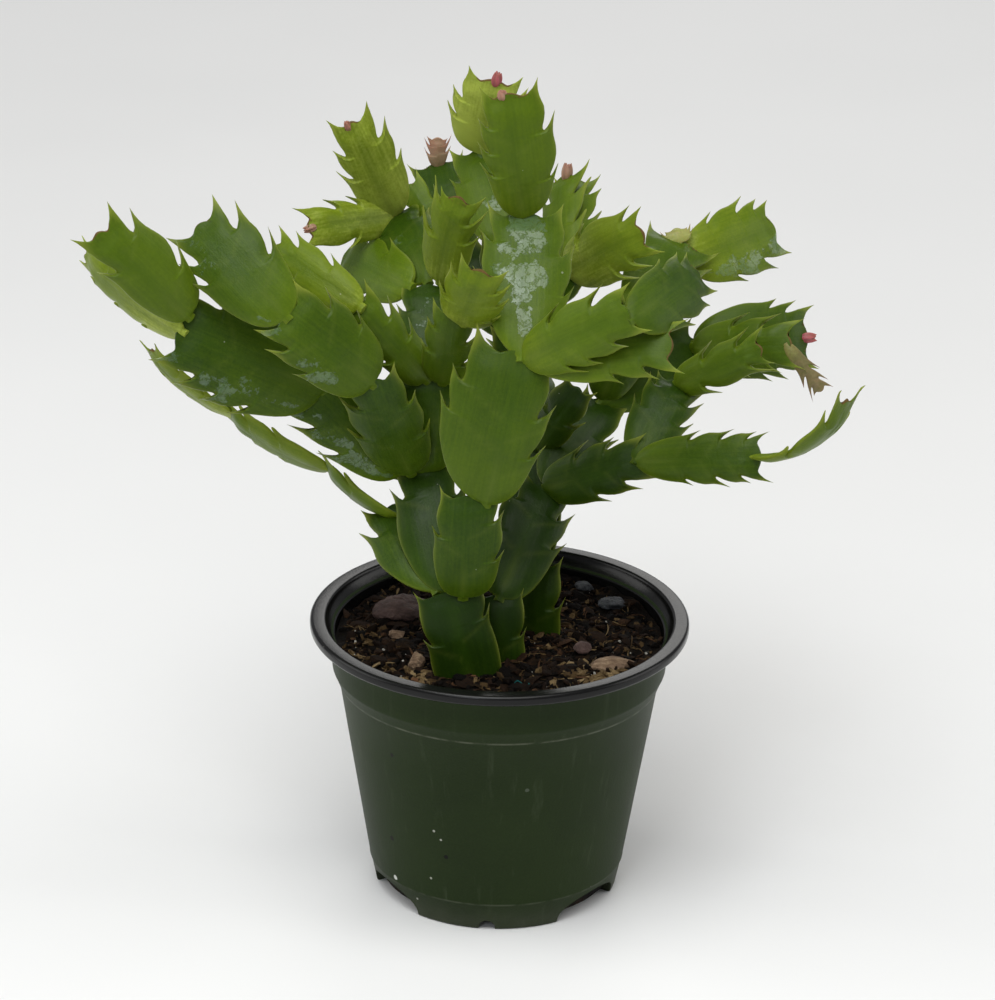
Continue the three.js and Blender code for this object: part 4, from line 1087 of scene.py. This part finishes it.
def skin(name, dry_roughness, wet_roughness, through):
    """The waxy skin of the pads. Its colour runs from old to young by the tone of each pad, the dark end
    partly painted shade, with mottling, lengthwise streaks, painted shade along the midrib valley, paler
    veins, margin and claws, and corky ends. Wet patches are smoother and crinkled, and painted with a
    grey-green reflection."""
    made, wires = material(name)
    mottle = wires.mottle(60.0, 1100.0, 0.4)
    streak = wires.noise(wires.given("lie", "Vector"), 1.0, 3, 0.6, (0.07, 1.1, 1.0))
    change = (mottle - 0.5) * 0.46 + (streak - 0.5) * 0.24
    colour = wires.ramp((wires.given("tone") + change).held(), *SKIN_STOPS)
    for label, strength, paint in SKIN_MARKS:
        colour = wires.blend(wires.given(label) * strength, colour, paint)
    cork = wires.between(wires.given("cork") + (mottle - 0.5) * 0.8, 0.35, 0.7)
    colour = wires.blend(cork, colour, CORK_COLOUR)
    colour = wires.blend(wires.specks(420.0, 0.02, 0.16) * 0.35, colour, SPECK_COLOUR)
    wet = wires.group("wet", Wetness=wires.given("wet"))
    film_and_reflection, crinkle = wet["Film_and_reflection"], wet["Crinkle"]
    worn = wires.math("MAXIMUM", mottle * 0.2 + (dry_roughness - 0.1), cork * 0.85)
    grain = wires.noise(wires.place(), 1500.0, 3)
    normal = wires.bump(grain * 0.3 + streak * 0.25 - wires.given("vein") * 0.2, 0.5, 0.0006)
    # Base colour blended towards the painted reflection where the glossy coat lies
    wires.surface(
        Base_Color=wires.blend(film_and_reflection * 0.28, colour, PAINTED_REFLECTION_COLOUR), Roughness=worn - film_and_reflection * 0.15,
        Normal=wires.bump(crinkle * film_and_reflection, 0.5, 0.0006, Normal=normal),
        Coat_Weight=film_and_reflection * 0.6, Coat_Roughness=wet_roughness, Coat_IOR=1.5, IOR=1.45,
        Specular_IOR_Level=0.17, Subsurface_Weight=through, Subsurface_Radius=(0.6, 1.0, 0.15),
        Subsurface_Scale=0.0015,
    )
    return made


def growth_skin():
    """Buds and the youngest segments: pink to bronze to pale yellow-green by tone, with painted shade in
    the folds between bud scales, and browner tips."""
    made, wires = material("new_growth")
    mottle = wires.mottle(260.0, 1500.0, 0.4)
    colour = wires.ramp(
        (wires.given("tone") + (mottle - 0.5) * 0.5).held(),
        (0.0, (0.38, 0.06, 0.095)), (0.22, (0.34, 0.115, 0.085)), (0.45, (0.32, 0.205, 0.125)),
        (0.75, (0.115, 0.105, 0.024)), (1.0, (0.3, 0.31, 0.07)),
    )
    # Darker red-brown by the margin value: the young segments' margins, and painted shade in the folds
    # between bud scales
    colour = wires.blend(wires.given("margin") * 0.3, colour, (0.16, 0.055, 0.03))
    colour = wires.blend(wires.given("claw") * 0.5, colour, (0.25, 0.08, 0.05))
    wires.surface(
        Base_Color=colour, Roughness=mottle * 0.25 + 0.35, Normal=wires.bump(mottle, 0.4, 0.0004),
        Subsurface_Weight=0.2, Subsurface_Radius=(1.0, 0.4, 0.25), Subsurface_Scale=0.001,
    )
    return made


# Pale lines round the pot at its two seams: height, width, strength and colour
POT_LINES = [
    (SEAM_HEIGHT + 0.1, 0.5, 0.55, (0.12, 0.13, 0.09)), (FOOT_HEIGHT, 0.45, 0.4, (0.1, 0.11, 0.075)),
]

# Small marks on the pot's wall: centre and radius in millimetres, and colour
POT_MARKS = [
    (-30.4, -24.5, 10.8, 0.9, (0.55, 0.56, 0.52)), (-15.0, -38.6, 25.2, 0.8, (0.004, 0.004, 0.003)),
    (-31.5, -27.0, 25.4, 0.9, (0.006, 0.006, 0.004)), (-40.5, -3.5, 19.5, 1.1, (0.004, 0.004, 0.003)),
    (-31.4, -34.3, 56.8, 0.7, (0.008, 0.008, 0.006)), (-18.7, -38.5, 33.8, 0.45, (0.3, 0.31, 0.26)),
    (-16.6, -39.0, 31.1, 0.4, (0.34, 0.35, 0.3)), (-19.5, -34.8, 16.1, 0.45, (0.28, 0.29, 0.24)),
    (8.8, -44.7, 51.0, 0.7, (0.06, 0.075, 0.05)),
]


def pot_plastic():
    """Moulded dark green plastic with a black rim, pale lines at the two seams, lengthwise streaks, dust
    specks, a few marks and a scuffed lip."""
    made, wires = material("pot")
    place = wires.place()
    right, back, up = wires.split("XYZ", place)
    mottle = wires.mottle(22.0, 1400.0, 0.35)
    streak = wires.noise(place, 1.0, 4, 0.6, (300.0, 300.0, 14.0))
    green = wires.ramp(mottle, (0.3, (0.009, 0.018, 0.003)), (0.7, (0.016, 0.029, 0.006)))
    green = wires.blend(wires.between(streak, 0.56, 0.8, 0, 0.22), green, (0.075, 0.095, 0.055))
    for at, width, strength, paint in POT_LINES:
        mask = wires.between(abs(up - at * MM), width * MM, 0.3 * width * MM, 0, strength)
        green = wires.blend(mask * wires.between(wires.noise(place, 240.0, 3), 0.3, 0.62), green, paint)
    foot = wires.between(up, 10 * MM, 0.0, 0, 0.5)
    green = wires.blend(foot * wires.noise(place, 130.0, 4), green, (0.1, 0.1, 0.08))
    black = wires.ramp(mottle, (0.3, (0.002, 0.002, 0.002)), (0.75, (0.006, 0.006, 0.006)))
    rim = wires.between(up, (BAND_TOP - 0.35) * MM, (BAND_TOP + 0.05) * MM)
    inside = right * right + back * back < ((BAND_RADIUS - 0.9) * MM) ** 2
    rim = wires.math("MAXIMUM", rim, inside * wires.between(up, 75.5 * MM, 77 * MM))
    colour = wires.blend(rim, green, black)
    scuff = wires.between(wires.noise(place, 1.0, 6, 0.7, (90.0, 90.0, 900.0)), 0.66, 0.78)
    near_rim = wires.between(up, (BAND_TOP - 1.6) * MM, (BAND_TOP - 0.2) * MM)
    colour = wires.blend(scuff * near_rim * 0.35, colour, (0.3, 0.31, 0.28))
    pale = wires.specks(210.0, 0.07, 0.11)
    colour = wires.blend(pale * 0.75, colour, (0.42, 0.42, 0.37))
    colour = wires.blend(wires.specks(150.0, 0.05, 0.14) * 0.8, colour, (0.006, 0.006, 0.006))
    for x, y, z, radius, paint in POT_MARKS:
        away = abs(right - x * MM) ** 2.0 + abs(back - y * MM) ** 2.0 + abs(up - z * MM) ** 2.0
        spread = away * (wires.noise(place, 900.0, 2) + 0.4)
        mark = wires.between(spread, (radius * MM) ** 2, 0.5 * (radius * MM) ** 2)
        colour = wires.blend(mark, colour, paint)
    fine = wires.noise(place, 1800.0, 3) + streak * 0.5 + pale * 2.0
    wires.surface(
        Base_Color=colour, Normal=wires.bump(fine, 0.25, 0.00025), IOR=1.49, Specular_IOR_Level=0.12,
        Roughness=(mottle * 0.22 + 0.36) * (1.0 - rim) + (mottle * 0.22 + 0.1) * rim,
        Coat_Weight=rim * 0.25, Coat_Roughness=0.2,
    )
    return made


def soil_matter():
    """Moist peaty soil, so dark that it also paints the shade between crumbs, with bark, tan wood, white
    specks and a teal thread, told apart by kind: 0 to 4.
    """
    made, wires = material("soil")
    place = wires.place()
    kind = wires.given("kind")
    mottle = wires.mottle(280.0, 1900.0, 0.5)
    level = (wires.given("shade") + (mottle - 0.5) * 1.1).held()
    # The soil's near-black colours are partly painted shade between the crumbs
    peat_with_painted_shade = [(0.1, (0.001, 0.0006, 0.0004)), (0.6, (0.0045, 0.0026, 0.0014)), (1.0, (0.036, 0.019, 0.008))]
    bark = [(0.0, (0.003, 0.0015, 0.0008)), (0.5, (0.018, 0.009, 0.0045)), (1.0, (0.11, 0.054, 0.025))]
    tan = [(0.0, (0.014, 0.008, 0.003)), (0.5, (0.08, 0.049, 0.02)), (1.0, (0.28, 0.2, 0.1))]
    pale = [(0.0, (0.2, 0.19, 0.16)), (1.0, (0.62, 0.6, 0.54))]
    colour = wires.ramp(level, *peat_with_painted_shade)
    for number, stops in enumerate((bark, tan, pale)):
        colour = wires.blend(kind > number + 0.5, colour, wires.ramp(level, *stops))
    rough = wires.noise(place, 900.0, 6, 0.7) + wires.noise(place, 300.0, 3) * 0.8
    wires.surface(
        Base_Color=wires.blend(kind > 3.5, colour, (0.01, 0.11, 0.11)), Specular_IOR_Level=0.1,
        Roughness=(mottle * 0.55 + 0.5).held(), Normal=wires.bump(rough, 0.9, 0.0012),
    )
    return made


def rough_matter(name, dark, mid, light, roughness, stretch):
    """Bark, wood and stone: three colours along a stretched grain, over a rough, pitted surface."""
    made, wires = material(name)
    place = wires.place()
    grain = wires.noise(place, 1.0, 6, 0.65, stretch)
    mottle = wires.mottle(170.0, 1500.0, 0.45)
    colour = wires.ramp(grain * 0.6 + mottle * 0.4, (0.32, dark), (0.5, mid), (0.68, light))
    wires.surface(
        Base_Color=wires.blend(wires.specks(900.0, 0.12, 0.3) * 0.5, colour, light),
        Roughness=(mottle * 0.3 + (roughness - 0.15)).held(),
        Normal=wires.bump(grain + wires.cells(place, 800.0) * 0.4, 0.8, 0.0011),
    )
    return made


def floor_finish():
    """A plain pale studio floor with a faint unevenness."""
    made, wires = material("studio_floor")
    colour = wires.ramp(wires.noise(wires.place(), 3, 3), (0.3, (0.8, 0.8, 0.8)), (0.7, (0.84, 0.84, 0.84)))
    wires.surface(Base_Color=colour, Roughness=0.7)
    return made


MATERIALS = {
    "pad_young": skin("pad_young", 0.44, 0.14, 0.12),
    "pad_green": skin("pad_green", 0.38, 0.12, 0.1),
    "pad_dark": skin("pad_dark", 0.36, 0.12, 0.06),
    "new_growth": growth_skin(),
    "pot": pot_plastic(),
    "soil": soil_matter(),
    "bark_red": rough_matter("bark_red", (0.02, 0.01, 0.008), (0.055, 0.028, 0.022),
                             (0.12, 0.07, 0.058), 0.75, (260, 700, 500)),
    "bark_tan": rough_matter("bark_tan", (0.05, 0.028, 0.016), (0.17, 0.105, 0.06),
                             (0.36, 0.26, 0.16), 0.8, (300, 1100, 900)),
    "stone": rough_matter("stone", (0.008, 0.009, 0.011), (0.024, 0.027, 0.032),
                          (0.075, 0.082, 0.092), 0.6, (350, 350, 350)),
}


# Studio: each light's place in metres, size, power and colour. All of them aim at the plant
LIGHTS = {
    "overhead": ((-0.1, -0.45, 1.3), 1.1, 13, (1.0, 0.99, 0.95)),
    "window": ((-0.25, -0.6, 1.3), 0.5, 2.8, (0.86, 0.93, 1.0)),
    "front": ((-0.5, -1.6, 1.0), 0.4, 3.5, (0.9, 0.95, 1.0)),
    "back": ((0.3, 1.7, 1.0), 0.9, 5, (1.0, 0.99, 0.96)),
    "left": ((-1.6, 0.1, 0.7), 1.2, 8, (1.0, 0.99, 0.96)),
    "right": ((1.6, 0.1, 0.7), 1.2, 8, (1.0, 0.99, 0.96)),
}
LIGHT_AIM = Vector((0, 0, 0.15))
FLOOR_REACH = 8000


def build_camera():
    """A long lens that looks down on the pot's front, turned a little about its own axis."""
    data = bpy.data.cameras.new("camera")
    data.lens = CAMERA_LENS
    data.sensor_width = 36
    data.clip_start, data.clip_end = 0.05, 20
    camera = new_object("camera", data)
    e = CAMERA_ELEVATION
    ahead = Vector((0, math.cos(e), -math.sin(e)))
    right, up = Vector((1, 0, 0)), Vector((0, math.sin(e), math.cos(e)))
    c, s = math.cos(CAMERA_ROLL), math.sin(CAMERA_ROLL)
    side, top = right * c + up * s, up * c - right * s
    stand = Vector((CAMERA_SIDE, 0, CAMERA_AIM_HEIGHT)) - ahead * CAMERA_DISTANCE
    camera.matrix_world = Matrix.Translation(stand) @ Matrix((side, top, -ahead)).transposed().to_4x4()
    bpy.context.scene.camera = camera


def build_studio():
    """A wide pale floor, an overhead soft box a little to the front with a small bright one
    beside it, and weak ones in front, behind and at the sides."""
    reach = FLOOR_REACH
    corners = [(-reach, -reach, 0), (reach, -reach, 0), (reach, reach, 0), (-reach, reach, 0)]
    mesh = new_mesh("studio_floor", corners, [(0, 1, 2, 3)])
    mesh.materials.append(floor_finish())
    floor = new_object("studio_floor", mesh)
    for name, (place, size, power, colour) in LIGHTS.items():
        data = bpy.data.lights.new(name, "AREA")
        data.size = size
        data.energy = power
        data.color = colour
        light = new_object(name, data)
        light.location = place
        light.rotation_euler = (LIGHT_AIM - Vector(place)).to_track_quat("-Z", "Y").to_euler()
    world = bpy.data.worlds.new("studio")
    world.use_nodes = True
    sky = world.node_tree.nodes["Background"].inputs
    sky[0].default_value = (0.97, 0.98, 1.0, 1)
    sky[1].default_value = 0.3
    bpy.context.scene.world = world
    bpy.context.scene.view_settings.view_transform = "Standard"


build_camera()
build_studio()
build_shoots()
build_young()
build_buds()
build_pot()
build_soil()
build_chips()
